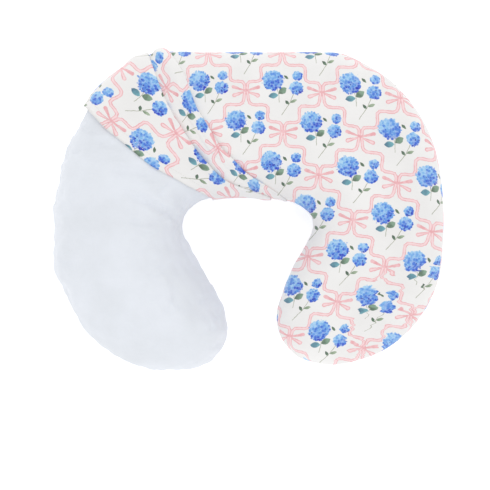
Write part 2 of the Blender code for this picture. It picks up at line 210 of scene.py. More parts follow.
MOUTH_LINE = ((-0.2369, 0.1522), (-0.2082, 0.1221), (-0.1732, 0.0928), (-0.1430, 0.0675),
              (-0.1048, 0.0460), (-0.0632, 0.0237))
FOLD_ONE = ((-0.1393, 0.2140), (-0.1278, 0.1824), (-0.1199, 0.1623), (-0.1063, 0.1364),
            (-0.0933, 0.1163), (-0.0775, 0.0919), (-0.0560, 0.0661), (-0.0345, 0.0460),
            (-0.0144, 0.0359), (0.0129, 0.0273))
FOLD_TWO = ((-0.1140, 0.2275), (-0.1040, 0.2125), (-0.0918, 0.1933), (-0.0849, 0.1759),
            (-0.0744, 0.1481), (-0.0640, 0.1307), (-0.0518, 0.1116), (-0.0414, 0.0942),
            (-0.0222, 0.0751), (-0.0013, 0.0541), (0.0230, 0.0385), (0.0460, 0.0230))

# The print repeats on a brick lattice: this far across, and this far from row to row.
REPEAT_ACROSS, REPEAT_UP = 0.106, 0.059
# How the print lies over the plan, on the cover's body and on the two bands of the pushed-back sleeve:
# its place in metres, its columns' and rows' turns in degrees, their stretches, and how much they bow
# with x squared, x times y and y squared.
STRAIGHT = ((0.0, 0.0, 0.0), (0.0, 0.0, 0.0))
BODY_GRAIN = ((0.0795, -0.1915), (7.0, 3.0), (1.01, 1.03), ((-0.2, 0.0, 0.4), (0.2, -0.3, 0.0)))
BAND_TWO_GRAIN = ((0.155, -0.046), (40.0, 49.0), (0.96, 1.14), STRAIGHT)
BAND_ONE_GRAIN = ((0.195, -0.008), (60.0, 50.0), (0.87, 0.99), STRAIGHT)
UV_CENTRE = (0.5, 0.6)


def grain(points, lie):
    """Flat cloth coordinates of plan points."""
    place, turns, stretches, bows = lie
    x, y = points[..., 0], points[..., 1]
    column, row = np.radians(turns)
    turned = np.stack((x * math.cos(column) - y * math.sin(column),
                       x * math.sin(row) + y * math.cos(row)), axis=-1)
    squares = np.stack((x * x, x * y, y * y), axis=-1)
    return np.array(place) + np.array(stretches) * turned + squares @ np.array(bows).T


def station_of(point):
    """The station and top angle whose surface point lies over a plan point."""
    t = np.linspace(-9.0, 4.0, 5201)
    waist, outer, _ = ribs_at(t)
    chord, reach = outer - waist, np.array(point) - waist
    side = chord[:, 0] * reach[:, 1] - chord[:, 1] * reach[:, 0]
    share = (chord * reach).sum(axis=1) / (chord ** 2).sum(axis=1)
    crossed = (side[:-1] * side[1:] <= 0.0) & (share[:-1] > -0.05) & (share[:-1] < 1.05)
    i = np.flatnonzero(crossed)[0]
    across = np.clip(2.0 * share[i] - 1.0, -1.0, 1.0)
    cosine = signed_power(across, TOP_FULLNESS / 2.0)
    return t[i], math.acos(np.clip(cosine, -1.0, 1.0))


def line_stations(plan_points, phi):
    """The stations where a line drawn over the top of the pillow crosses the angles phi."""
    found = sorted((station_of(point)[::-1] for point in plan_points))
    (before, t_before), (last, t_last) = found[-2:]
    slope = (t_last - t_before) / (last - before)
    found += [(last + 0.25, t_last + 0.14 * slope), (last + 0.55, t_last + 0.16 * slope)]
    angles = [angle for angle, _ in found]
    return smooth_path(angles, [[t] for _, t in found], np.abs(phi))[..., 0]


# ---------------------------------------------------------------- making meshes

STITCH_LENGTH, STITCH_PITCH, STITCH_RADIUS = 0.0030, 0.0042, 0.00035
STITCH_LOOK = 0.001  # how far ahead and behind a stitch takes its direction from
WELD, SLIVER = 2e-5, 1e-6


def ease(low, high, value):
    """0 below low, 1 above high, and a smooth step between."""
    s = np.clip((np.asarray(value, float) - low) / (high - low), 0.0, 1.0)
    return s * s * (3.0 - 2.0 * s)


def waves(points, length, seed):
    """A smooth random field from -1 to 1, made of sine waves of about this length, at any points."""
    random = np.random.default_rng(seed)
    field = np.zeros(points.shape[:-1])
    count = 7
    for _ in range(count):
        direction = random.normal(size=points.shape[-1])
        direction *= 2.0 * math.pi / (length * random.uniform(0.7, 1.6)) / np.linalg.norm(direction)
        field += np.sin(points @ direction + random.uniform(0.0, 2.0 * math.pi))
    return field / math.sqrt(count)


def vertex_array(mesh, which="co"):
    flat = np.empty(len(mesh.vertices) * 3, np.float32)
    mesh.vertices.foreach_get(which, flat)
    return flat.reshape(-1, 3).astype(float)


def set_vertices(mesh, points):
    mesh.vertices.foreach_set("co", np.asarray(points, np.float32).ravel())
    mesh.update()


def mesh_of(shape, name):
    """A new mesh from a bmesh, which is then freed."""
    mesh = bpy.data.meshes.new(name)
    shape.to_mesh(mesh)
    shape.free()
    return mesh


def evaluated(thing):
    return thing.evaluated_get(bpy.context.evaluated_depsgraph_get())


def add_object(name, mesh, finish):
    mesh.materials.clear()
    mesh.materials.append(finish)
    thing = bpy.data.objects.new(name, mesh)
    bpy.context.scene.collection.objects.link(thing)
    mesh.shade_smooth()
    return thing


def grid_mesh(name, points, cloth=None):
    """A mesh from an array of points, columns by rows, with flat cloth coordinates as its UV map."""
    columns, rows = points.shape[0] - 1, points.shape[1] - 1
    shape = bmesh.new()
    bmesh.ops.create_grid(shape, x_segments=columns, y_segments=rows, size=0.5)
    bmesh.ops.reverse_faces(shape, faces=shape.faces)
    mesh = mesh_of(shape, name)
    place = vertex_array(mesh)
    i = np.rint((place[:, 0] + 0.5) * columns).astype(int)
    j = np.rint((place[:, 1] + 0.5) * rows).astype(int)
    set_vertices(mesh, points[i, j])
    if cloth is not None:
        corner = np.empty(len(mesh.loops), np.int32)
        mesh.loops.foreach_get("vertex_index", corner)
        uv = mesh.uv_layers.new(name="cloth")
        flat = (cloth[i, j] + UV_CENTRE)[corner].astype(np.float32)
        uv.data.foreach_set("uv", flat.ravel())
    return mesh


def tidy_mesh(mesh, keep=None):
    """Weld doubled points, and drop faces that the test does not keep."""
    shape = bmesh.new()
    shape.from_mesh(mesh)
    if keep is not None:
        drop = [face for face in shape.faces if not keep(face)]
        bmesh.ops.delete(shape, geom=drop, context="FACES")
    bmesh.ops.remove_doubles(shape, verts=shape.verts, dist=WELD)
    bmesh.ops.dissolve_degenerate(shape, edges=shape.edges, dist=SLIVER)
    shape.to_mesh(mesh)
    shape.free()
    return mesh


def thicken(thing, thickness, offset=1.0):
    wall = thing.modifiers.new("wall", "SOLIDIFY")
    wall.thickness = thickness
    wall.offset = offset


def on_pillow(piece, node=None):
    """Ride the pillow's body, in place of a node where there is one."""
    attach(piece, "pillow")
    if node:
        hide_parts(node)


def frame_at(point, normal, direction):
    """A matrix at a point, with Z out of the cloth and X along a direction in it."""
    out = Vector(normal).normalized()
    forward = Vector(direction) - out * Vector(direction).dot(out)
    forward.normalize()
    turn = Matrix((forward, out.cross(forward), out)).transposed().to_4x4()
    return Matrix.Translation(Vector(point)) @ turn


def stitch_row(name, points, normals, finish):
    """A row of stitches along a line of points on cloth: a short rounded bar for each."""
    steps = np.linalg.norm(np.diff(points, axis=0), axis=1)
    run = np.concatenate(((0.0,), np.cumsum(steps)))
    at = np.arange(STITCH_PITCH / 2.0, run[-1], STITCH_PITCH)

    def along_run(places, values):
        return np.stack([np.interp(places, run, values[:, k]) for k in range(3)], axis=1)

    ahead = along_run(at + STITCH_LOOK, points) - along_run(at - STITCH_LOOK, points)
    size = Matrix.Diagonal((STITCH_LENGTH / 2.0, STITCH_RADIUS * 1.3, STITCH_RADIUS, 1.0))
    shape = bmesh.new()
    for place in zip(along_run(at, points), along_run(at, normals), ahead):
        bmesh.ops.create_icosphere(shape, subdivisions=1, radius=1.0, matrix=frame_at(*place) @ size)
    return add_object(name, mesh_of(shape, name), finish)


# ---------------------------------------------------------------- materials

def srgb(red, green, blue):
    """A linear colour from the usual 0 to 255 values."""
    linear = []
    for part in (red, green, blue):
        part /= 255.0
        linear.append(part / 12.92 if part <= 0.04045 else ((part + 0.055) / 1.055) ** 2.4)
    return (*linear, 1.0)


class Term:
    """A socket in an expression: sums and products on it add Math nodes."""

    def __init__(self, kit, socket):
        self.kit = kit
        self.socket = socket

    def __add__(self, other):
        return self.kit.math("ADD", self, other)

    def __sub__(self, other):
        return self.kit.math("SUBTRACT", self, other)

    def __rsub__(self, other):
        return self.kit.math("SUBTRACT", other, self)

    def __mul__(self, other):
        return self.kit.math("MULTIPLY", self, other)

    def __truediv__(self, other):
        return self.kit.math("DIVIDE", self, other)

    def __abs__(self):
        return self.kit.math("ABSOLUTE", self)

    __radd__ = __add__
    __rmul__ = __mul__


class Finish:
    """A material being made. node() adds any node; the other methods are short for common ones."""

    def __init__(self, name):
        self.material = bpy.data.materials.new(name)
        self.material.use_nodes = True
        self.tree = self.material.node_tree
        self.tree.nodes.clear()

    def feed(self, socket, value):
        if isinstance(value, Term):
            self.tree.links.new(value.socket, socket)
        else:
            socket.default_value = value

    def node(self, kind, settings=None, values=None, out=0):
        made = self.tree.nodes.new(kind)
        for key, value in (settings or {}).items():
            if key == "stops":
                ramp = made.color_ramp
                while len(ramp.elements) < len(value):
                    ramp.elements.new(1.0)
                for element, (place, colour) in zip(ramp.elements, value):
                    element.position = place
                    element.color = colour
            else:
                setattr(made, key, value)
        for key, value in (values or {}).items():
            self.feed(made.inputs[key], value)
        return Term(self, made.outputs[out]) if made.outputs else None

    def math(self, operation, *values, clamp=False):
        settings = {"operation": operation, "use_clamp": clamp}
        return self.node("ShaderNodeMath", settings, dict(enumerate(values)))

    def vector(self, operation, *values, out=0):
        settings = {"operation": operation}
        return self.node("ShaderNodeVectorMath", settings, dict(enumerate(values)), out)

    def scaled(self, vector, factor):
        values = {0: vector, "Scale": factor}
        return self.node("ShaderNodeVectorMath", {"operation": "SCALE"}, values)

    def dot(self, vector, axis):
        return self.vector("DOT_PRODUCT", vector, axis, out=1)

    def length(self, vector):
        return self.vector("LENGTH", vector, out=1)

    def lowest(self, first, *others):
        for other in others:
            first = self.math("MINIMUM", first, other)
        return first

    def step(self, low, high, value):
        """0 at low, 1 at high, smooth between; low may be the larger."""
        values = {"Value": value, "From Min": low, "From Max": high}
        return self.node("ShaderNodeMapRange", {"interpolation_type": "SMOOTHSTEP"}, values)

    def mix(self, factor, first, second):
        settings = {"data_type": "RGBA", "clamp_factor": True}
        return self.node("ShaderNodeMix", settings, {0: factor, 6: first, 7: second}, 2)

    def noise(self, vector, scale, detail=3.0, roughness=0.55, out=0):
        values = {"Vector": vector, "Scale": scale, "Detail": detail, "Roughness": roughness}
        return self.node("ShaderNodeTexNoise", None, values, out)

    def cells(self, vector, scale, out=0):
        """Cell noise: the distance from each cell's middle, or with out=1 the cell's random colour."""
        return self.node("ShaderNodeTexVoronoi", None, {"Vector": vector, "Scale": scale}, out)

    def object_place(self):
        return self.node("ShaderNodeTexCoord", None, None, 3)

    def cloth_place(self):
        """The piece's flat cloth coordinates in metres, about the middle of the print."""
        uv = self.node("ShaderNodeUVMap", {"uv_map": "cloth"})
        return self.vector("SUBTRACT", uv, (*UV_CENTRE, 0.0))

    def axes(self, vector):
        split = self.tree.nodes.new("ShaderNodeSeparateXYZ")
        self.feed(split.inputs[0], vector)
        return [Term(self, socket) for socket in split.outputs]

    def join(self, x, y, z=0.0):
        return self.node("ShaderNodeCombineXYZ", None, {0: x, 1: y, 2: z})

    def surface(self, colour, roughness, bump=None, depth=0.0002, **constants):
        """The shader and the output. Bump is a height from 0 to 1, and depth its size in metres."""
        values = {"Base Color": colour, "Roughness": roughness}
        values.update({key.replace("_", " "): value for key, value in constants.items()})
        if bump is not None:
            settings = {"Height": bump, "Distance": depth, "Strength": 1.0}
            values["Normal"] = self.node("ShaderNodeBump", None, settings)
        shader = self.node("ShaderNodeBsdfPrincipled", None, values)
        self.node("ShaderNodeOutputMaterial", None, {"Surface": shader})
        return self.material


def weave(kit, place, pitch):
    """Over-and-under threads: a height from 0 to 1 on flat cloth coordinates."""
    x, y, _ = kit.axes(kit.scaled(place, math.pi / pitch))
    warp, weft = kit.math("SINE", x), kit.math("SINE", y)
    return warp * weft * 0.5 + 0.5


def full(colour):
    """A colour setting with its alpha."""
    return (*colour, 1.0)


def brick(kit, place, centre):
    """Each point's offset from the nearest copy of a centre, on the print's brick lattice."""
    x, y, _ = kit.axes(kit.vector("SUBTRACT", place, (*centre, 0.0)))
    row = kit.math("ROUND", y / REPEAT_UP)
    shifted = x - row * (REPEAT_ACROSS / 2.0)
    column = kit.math("ROUND", shifted / REPEAT_ACROSS)
    return kit.join(shifted - column * REPEAT_ACROSS, y - row * REPEAT_UP)


def stroke(kit, place, start, end, first, last=None):
    """Signed distance to a brush stroke from start to end, its half width running first to last."""
    start, end = Vector((*start, 0.0)), Vector((*end, 0.0))
    line = end - start
    reach = kit.vector("SUBTRACT", place, tuple(start))
    scale = tuple(line / line.length_squared)
    along = kit.math("MULTIPLY", kit.dot(reach, scale), 1.0, clamp=True)
    distance = kit.length(kit.vector("SUBTRACT", reach, kit.scaled(tuple(line), along)))
    if last is None:
        return distance - first
    return distance - (along * (last - first) + first)


def strokes(kit, place, points, half):
    """Signed distance to a brush stroke that runs through all the points."""
    pieces = [stroke(kit, place, start, end, half) for start, end in zip(points[:-1], points[1:])]
    nearest = pieces[0]
    for piece in pieces[1:]:
        nearest = kit.math("SMOOTH_MIN", nearest, piece, STROKE_BLEND)
    return nearest


def leaf(kit, place, centre, length, width, turn):
    """A mask for a pointed leaf, and how far along it each point is, from -1 to 1."""
    angle = math.radians(turn)
    reach = kit.vector("SUBTRACT", place, (*centre, 0.0))
    long_axis = (math.cos(angle) * 2.0 / length, math.sin(angle) * 2.0 / length, 0.0)
    side_axis = (-math.sin(angle) * 2.0 / width, math.cos(angle) * 2.0 / width, 0.0)
    along, aside = kit.dot(reach, long_axis), abs(kit.dot(reach, side_axis))
    return kit.step(0.22, -0.08, aside + along * along - 1.0), along


def round_mask(kit, place, centre, radius, ragged):
    """A mask for a flower head with a ragged edge, and how low on it each point is."""
    reach = kit.vector("SUBTRACT", place, (*centre, 0.0))
    shade = kit.dot(reach, (0.5 / radius, -0.8 / radius, 0.0))
    return kit.step(1.03, 0.93, kit.length(reach) / radius + ragged), shade


# The print, in metres from the big flower's centre.
FLOWERS = (((0.0, 0.0), 0.0160), ((0.0343, 0.0073), 0.0076), ((0.0321, -0.0105), 0.0104))
SPRIG, STALK = (0.0160, -0.0060), (0.0200, -0.0330)
STEM = ((0.0293, -0.0165), (0.0224, -0.0334), (0.0119, -0.0499))
SHORT_STEM = ((0.0046, -0.0092), (0.0078, -0.0211), (0.0082, -0.0320))
# Leaves on the sprig and on the stalk: centre, length, width, turn in degrees, dark and light green.
SPRIG_LEAVES = (
    ((0.0188, 0.0050), 0.0082, 0.0034, -43.0, (52, 84, 56), (74, 112, 78)),
    ((0.0131, -0.0147), 0.0135, 0.0086, 38.0, (58, 92, 66), (122, 158, 132)),
    ((0.0000, -0.0220), 0.0135, 0.0080, 10.0, (44, 104, 132), (96, 168, 180)),
)
STALK_LEAVES = (
    ((0.0192, -0.0316), 0.0076, 0.0038, -50.0, (40, 74, 50), (70, 108, 78)),
    ((0.0284, -0.0293), 0.0102, 0.0040, 25.0, (104, 132, 98), (160, 178, 150)),
)
PETAL_BLUES = ((0.16, srgb(172, 212, 240)), (0.34, srgb(130, 184, 234)), (0.50, srgb(92, 146, 224)),
               (0.66, srgb(66, 108, 212)), (0.84, srgb(44, 60, 188)))
PETALS, SPOTS = 300.0, 250.0  # cells to the metre
BOW = (0.0673, -0.0155)
# The bow's wings and knot, from its middle: start, end, half width there and here.
UPPER_WING = ((0.0016, 0.0004), (0.0180, 0.0058), 0.0009, 0.0025)
LOWER_WING = ((0.0016, -0.0010), (0.0168, -0.0066), 0.0009, 0.0029)
KNOT = ((0.0, 0.0012), (0.0, -0.0016), 0.0021)
RIBBON_HALF, RIBBON_POINTS, RIBBON_SWING = 0.0021, 17, 0.0092
STROKE_BLEND = 0.0008
THREAD_PITCH = 0.00055


def ribbon_path():
    """A ribbon from a bow's knot to the knot of the next bow down, in four dying waves."""
    share = np.linspace(0.0, 1.0, RIBBON_POINTS)
    start = np.array((0.0018, -0.0020))
    end = np.array((REPEAT_ACROSS / 2.0 - 0.0018, 0.0035 - REPEAT_UP))
    aside = np.array((start[1] - end[1], end[0] - start[0])) / np.linalg.norm(end - start)
    wave = -RIBBON_SWING * (1.0 - 0.55 * share) * np.sin(4.0 * math.pi * share ** 1.3)
    return start + share[:, None] * (end - start) + wave[:, None] * aside


def printed_cotton(name, looks):
    """Off-white cotton with a repeat of ribbon bows and blue flower sprigs, as in watercolour."""
    kit = Finish(name)
    place = kit.cloth_place()
    blur = kit.vector("SUBTRACT", kit.noise(place, 260.0, 2.0, out=1), (0.5, 0.5, 0.5))
    wet = kit.vector("ADD", place, kit.scaled(blur, 0.0016))
    wash = kit.noise(place, 130.0, 2.0)
    blotches = kit.step(0.3, 0.7, kit.noise(place, 14.0, 2.0))
    ground = kit.mix(blotches, full(looks.ground), full(looks.ground_shade))

    # Ribbons: a bow of four wings, and a wavy ribbon down to each of the two bows below.
    near_x, near_y, _ = kit.axes(brick(kit, wet, BOW))
    wings = kit.join(abs(near_x), near_y)
    upper, lower, knot = (stroke(kit, wings, *part) for part in (UPPER_WING, LOWER_WING, KNOT))
    below_x, below_y, _ = kit.axes(brick(kit, wet, (BOW[0], BOW[1] - REPEAT_UP / 2.0)))
    beside = kit.join(abs(below_x), below_y - REPEAT_UP / 2.0)
    ribbon = strokes(kit, beside, ribbon_path(), RIBBON_HALF)
    ink = kit.step(0.0004, -0.0003, kit.lowest(upper, lower, knot, ribbon))
    core = kit.math("MAXIMUM", kit.step(-0.0007, -0.0014, ribbon), kit.step(-0.0008, -0.0020, lower))
    pink = kit.mix(kit.step(0.35, 0.7, wash), full(looks.ribbon), full(looks.ribbon_light))
    pink = kit.mix(core * 0.8, pink, full(looks.ribbon_core))
    colour = kit.mix(ink * 0.92, ground, pink)

    # Stems and their leaves, drawn below the flowers.
    sprig, stalk = (kit.vector("ADD", brick(kit, wet, at), (*at, 0.0)) for at in (SPRIG, STALK))
    stems = kit.lowest(strokes(kit, stalk, STEM, 0.00035), strokes(kit, sprig, SHORT_STEM, 0.00030))
    colour = kit.mix(kit.step(0.0004, -0.0002, stems) * 0.75, colour, srgb(138, 146, 112))
    for where, leaves in ((sprig, SPRIG_LEAVES), (stalk, STALK_LEAVES)):
        for centre, length, width, turn, dark, light in leaves:
            mask, along = leaf(kit, where, centre, length, width, turn)
            tone = kit.mix(kit.step(0.15, 0.85, along * 0.3 + wash), srgb(*dark), srgb(*light))
            colour = kit.mix(mask * 0.92, colour, tone)

    # Flower heads: many small petals, light at the upper left and dark in spots.
    petal_tone = kit.axes(kit.cells(place, PETALS, out=1))[0]
    petal_edge = kit.cells(place, PETALS)
    ragged = (petal_edge - 0.35) * 0.30
    clumps = kit.noise(place, 150.0, 2.0)
    chosen = kit.axes(kit.cells(place, SPOTS, out=1))[1]
    spots = kit.step(0.34, 0.20, kit.cells(place, SPOTS)) * kit.step(0.55, 0.65, chosen) * 0.9
    for centre, radius in FLOWERS:
        mask, low = round_mask(kit, sprig, centre, radius, ragged)
        tone = petal_tone * 0.34 + clumps * 0.40 + low * 0.26 + 0.11
        blue = kit.node("ShaderNodeValToRGB", {"stops": PETAL_BLUES}, {"Fac": tone})
        blue = kit.mix(kit.step(0.45, 0.75, petal_edge) * 0.4, blue, srgb(196, 226, 250))
        deep = spots * kit.step(-0.45, 0.15, low)
        colour = kit.mix(mask, colour, kit.mix(deep, blue, srgb(34, 34, 158)))

    threads = weave(kit, place, THREAD_PITCH)
    slubs = kit.noise(place, 900.0, 2.0)
    colour = kit.mix(threads * 0.05, colour, srgb(214, 213, 210))
    rough = kit.noise(place, 60.0, 2.0) * 0.12 + 0.80
    return kit.surface(colour, rough, threads * 0.6 + slubs * 0.4, 0.00008,
                       Sheen_Weight=0.15, Sheen_Roughness=0.5, Specular_IOR_Level=0.25)


def pillow_cloth(name, looks):
    """The inner pillow's plain microfibre: cool white, with a fine weave and faint blotches."""
    kit = Finish(name)
    place = kit.object_place()
    soft = kit.step(0.25, 0.75, kit.noise(place, 16.0, 4.0))
    colour = kit.mix(soft, full(looks.pillow), full(looks.pillow_shade))
    fibres = kit.noise(place, 1500.0, 2.0)
    crepe = kit.noise(place, 220.0, 3.0)
    rough = kit.noise(place, 45.0, 2.0) * 0.1 + 0.82
    return kit.surface(colour, rough, fibres * 0.35 + crepe * 0.65, 0.00022,
                       Sheen_Weight=0.2, Sheen_Roughness=0.45, Specular_IOR_Level=0.2)


def fibre_fill(name):
    kit = Finish(name)
    place = kit.object_place()
    tufts = kit.noise(place, 90.0, 5.0, 0.7)
    colour = kit.mix(tufts, srgb(232, 232, 228), srgb(250, 250, 248))
    return kit.surface(colour, kit.noise(place, 40.0) * 0.1 + 0.88, tufts, 0.002, Sheen_Weight=0.3)


def thread(name, colour):
    kit = Finish(name)
    place = kit.object_place()
    ply = kit.noise(place, 2500.0, 1.0)
    shade = kit.mix(ply, colour, srgb(205, 204, 200))
    return kit.surface(shade, ply * 0.2 + 0.6, ply, 0.00008, Specular_IOR_Level=0.3)


def tape_cloth(name):
    """Zip tape: a herringbone of fine ribs across its width."""
    kit = Finish(name)
    place = kit.cloth_place()
    x, y, _ = kit.axes(place)
    bent = kit.math("PINGPONG", y, 0.0025)
    ribs = kit.math("SINE", (x + bent) * (2.0 * math.pi / 0.0011)) * 0.5 + 0.5
    colour = kit.mix(ribs * 0.35, srgb(244, 243, 240), srgb(214, 212, 208))
    return kit.surface(colour, ribs * 0.1 + 0.75, ribs, 0.00022, Specular_IOR_Level=0.3)


def coil_nylon(name):
    kit = Finish(name)
    place = kit.object_place()
    tone = kit.noise(place, 180.0, 2.0)
    colour = kit.mix(tone, srgb(238, 236, 232), srgb(222, 220, 215))
    grit = kit.noise(place, 1200.0)
    return kit.surface(colour, tone * 0.2 + 0.32, grit, 0.00004, Coat_Weight=0.15)


def cast_zinc(name):
    """Plated zinc: bright, with tumbled mottling and duller, scuffed patches."""
    kit = Finish(name)
    place = kit.object_place()
    scuff = kit.noise(place, 700.0, 4.0, 0.6)
    colour = kit.mix(kit.step(0.35, 0.7, scuff), srgb(204, 205, 208), srgb(186, 188, 192))
    rough = kit.step(0.3, 0.8, scuff) * 0.14 + 0.2
    return kit.surface(colour, rough, kit.noise(place, 900.0, 3.0), 0.00003, Metallic=1.0)


def satin(name):
    """Label satin: long floats along the weft, bright and smooth."""
    kit = Finish(name)
    place = kit.cloth_place()
    x, y, _ = kit.axes(place)
    floats = kit.math("SINE", y * (2.0 * math.pi / 0.0005)) * 0.5 + 0.5
    sheen = kit.noise(kit.join(x * 40.0, y * 700.0), 3.0, 2.0)
    colour = kit.mix(sheen, srgb(250, 250, 249), srgb(232, 232, 231))
    return kit.surface(colour, sheen * 0.2 + 0.35, floats, 0.00006, Sheen_Weight=0.1)


def studio_floor(name):
    kit = Finish(name)
    place = kit.object_place()
    tone = kit.noise(place, 6.0, 3.0)
    colour = kit.mix(tone, srgb(251, 251, 251), srgb(249, 249, 249))
    return kit.surface(colour, tone * 0.1 + 0.8, kit.noise(place, 300.0, 2.0), 0.00005,
                       Specular_IOR_Level=0.1, Emission_Color=(1.0, 1.0, 1.0, 1.0),
                       Emission_Strength=0.34)


# ---------------------------------------------------------------- settings

def colour_setting(name, description, *colour):
    return FloatVectorProperty(name=name, description=description, subtype="COLOR",
                               default=srgb(*colour)[:3], min=0.0, max=1.0)


def length_setting(name, description, default, least, most):
    return FloatProperty(name=name, description=description, default=default, unit="LENGTH",
                         min=least, max=most)


class PillowLooks(bpy.types.PropertyGroup):
    """Colours, as linear red, green and blue."""

    ground: colour_setting("Cotton", "The cover's undyed ground", 240, 239, 238)
    ground_shade: colour_setting("Cotton shade", "Its faint blotches", 235, 234, 233)
    ribbon: colour_setting("Ribbon", "The printed ribbon's edges", 232, 162, 168)
    ribbon_light: colour_setting("Ribbon wash", "Where the ribbon's ink is thin", 241, 192, 196)
    ribbon_core: colour_setting("Ribbon core", "The pale line along the ribbon", 249, 222, 224)
    pillow: colour_setting("Inner pillow", "The inner pillow's cool white", 230, 234, 241)
    pillow_shade: colour_setting("Inner pillow shade", "Its faint blotches", 223, 227, 233)


class SleeveSizes(bpy.types.PropertyGroup):
    """The pushed-back sleeve and the cover's cloth."""

    cloth: length_setting("Cloth", "Thickness of the cotton", 0.0007, 0.0003, 0.002)
    tuck: length_setting("Tuck", "How far each fold runs back under itself", 0.015, 0.004, 0.03)
    outer_rise: length_setting("Rise at the edge", "Height of the first fold at the edge seam",
                               0.0052, 0.004, 0.016)
    top_rise: length_setting("Rise on top", "Height of the first fold over the top",
                             0.0085, 0.004, 0.016)
    waist_rise: length_setting("Rise at the waist", "Height of the folds at the waist",
                               0.0034, 0.003, 0.012)
    puff: length_setting("Puff", "How far a fold bulges just before its edge, at the side",
                         0.0040, 0.0, 0.01)
    second: FloatProperty(name="Second fold", description="Its height against the first fold's",
                          default=0.72, min=0.3, max=1.2)
    hem: length_setting("Hem", "Width of the mouth's hem", 0.012, 0.004, 0.03)


class PillowSizes(bpy.types.PropertyGroup):
    """The inner pillow's skin."""

    cell: length_setting("Cell", "Size of the skin's cells before the last subdivision",
                         0.0050, 0.004, 0.01)
    pressure: FloatProperty(name="Pressure", description="How hard the stuffing pushes",
                            default=4.0, min=0.0, max=20.0)
    slack: FloatProperty(name="Slack", description="How much larger the skin is than its stuffing",
                         default=0.035, min=0.0, max=0.1)
    frames: IntProperty(name="Frames", description="Steps that the cloth settles for",
                        default=20, min=5, max=40)
    swell: length_setting("Swell", "The most that the bare arm may move", 0.006, 0.0, 0.02)
    squeeze: length_setting("Squeeze", "How far the sleeve's mouth presses the shoulder in",
                            0.0055, 0.0, 0.01)
    plump: length_setting("Plump", "How far the bare arm's end fills out on its inner side",
                          0.0040, 0.0, 0.008)
    seam_pinch: length_setting("Seam pinch", "How deep the edge seam pulls in", 0.0022, 0.0, 0.006)


# ---------------------------------------------------------------- the inner pillow

MOUTH_FROM, MOUTH_TO = np.array(MOUTH_LINE[0]), np.array(MOUTH_LINE[-1])
SHOULDER, INNER_TIP = np.array((-0.2430, 0.1360)), np.array((-0.0340, -0.1880))
SPOT = 0.045  # how wide the pressed-in shoulder and the plump tip are
STUFFING_DEPTH, PANEL_WALL = 0.012, 0.0008
FLOOR_GAP = 0.0003
STUFFING_CLOTH = {"quality": 5, "mass": 0.3, "use_pressure": True, "vertex_group_mass": "held",
                  "tension_stiffness": 15.0, "bending_stiffness": 0.6}
# Creases on the bare arm, in plan, each with its depth and half width.
CREASES = (
    (((-0.1740, 0.0302), (-0.1540, 0.0180), (-0.1321, 0.0086), (-0.1120, -0.0040), (-0.0976, -0.0158)),
     0.0042, 0.0050),
    (((-0.1838, -0.0129), (-0.1620, -0.0166), (-0.1407, -0.0180), (-0.1180, -0.0170)), 0.0022, 0.0045),
    (((-0.1637, -0.0302), (-0.1450, -0.0322), (-0.1307, -0.0316)), 0.0016, 0.0038),
    (((-0.1077, -0.0689), (-0.1220, -0.0820), (-0.1335, -0.0905), (-0.1537, -0.1020)), 0.0026, 0.0060),
    (((-0.0440, -0.1228), (-0.0560, -0.1250), (-0.0700, -0.1310)), 0.0030, 0.0045),
    (((-0.0300, -0.1660), (-0.0450, -0.1655), (-0.0590, -0.1700)), 0.0022, 0.0045),
    (((-0.2560, 0.0560), (-0.2400, 0.0470), (-0.2200, 0.0440)), 0.0018, 0.0050),
    (((-0.2740, -0.0700), (-0.2580, -0.0740), (-0.2440, -0.0850)), 0.0018, 0.0050),
)


def bare_share(points):
    """1 on the bare arm, 0 under the cover, from how far a point lies past the sleeve's mouth."""
    along = MOUTH_TO - MOUTH_FROM
    towards_arm = np.array((along[1], -along[0])) / np.linalg.norm(along)
    beyond = (points[..., :2] - MOUTH_FROM) @ towards_arm
    return ease(0.004, 0.030, beyond) * (points[..., 0] < 0.0)


def distance_to_line(points, line):
    """How far plan points are from a line through some points, and how far along it they are."""
    best = np.full(points.shape[:-1], np.inf)
    share = np.zeros(points.shape[:-1])
    line = np.asarray(line)
    count = len(line) - 1
    for i in range(count):
        step = line[i + 1] - line[i]
        along = np.clip(((points[..., :2] - line[i]) @ step) / (step @ step), 0.0, 1.0)
        away = np.linalg.norm(points[..., :2] - line[i] - along[..., None] * step, axis=-1)
        share = np.where(away < best, (i + along) / count, share)
        best = np.minimum(best, away)
    return best, share


def skin_form(depth, stations=320, angles=200):
    """A closed skin at a depth, as an array of points round and along the pillow."""
    t = np.linspace(-TIP, TIP, stations)[:, None]
    phi = np.linspace(-math.pi, math.pi, angles)[None, :]
    return layer(t, phi, np.full((stations, angles), depth))


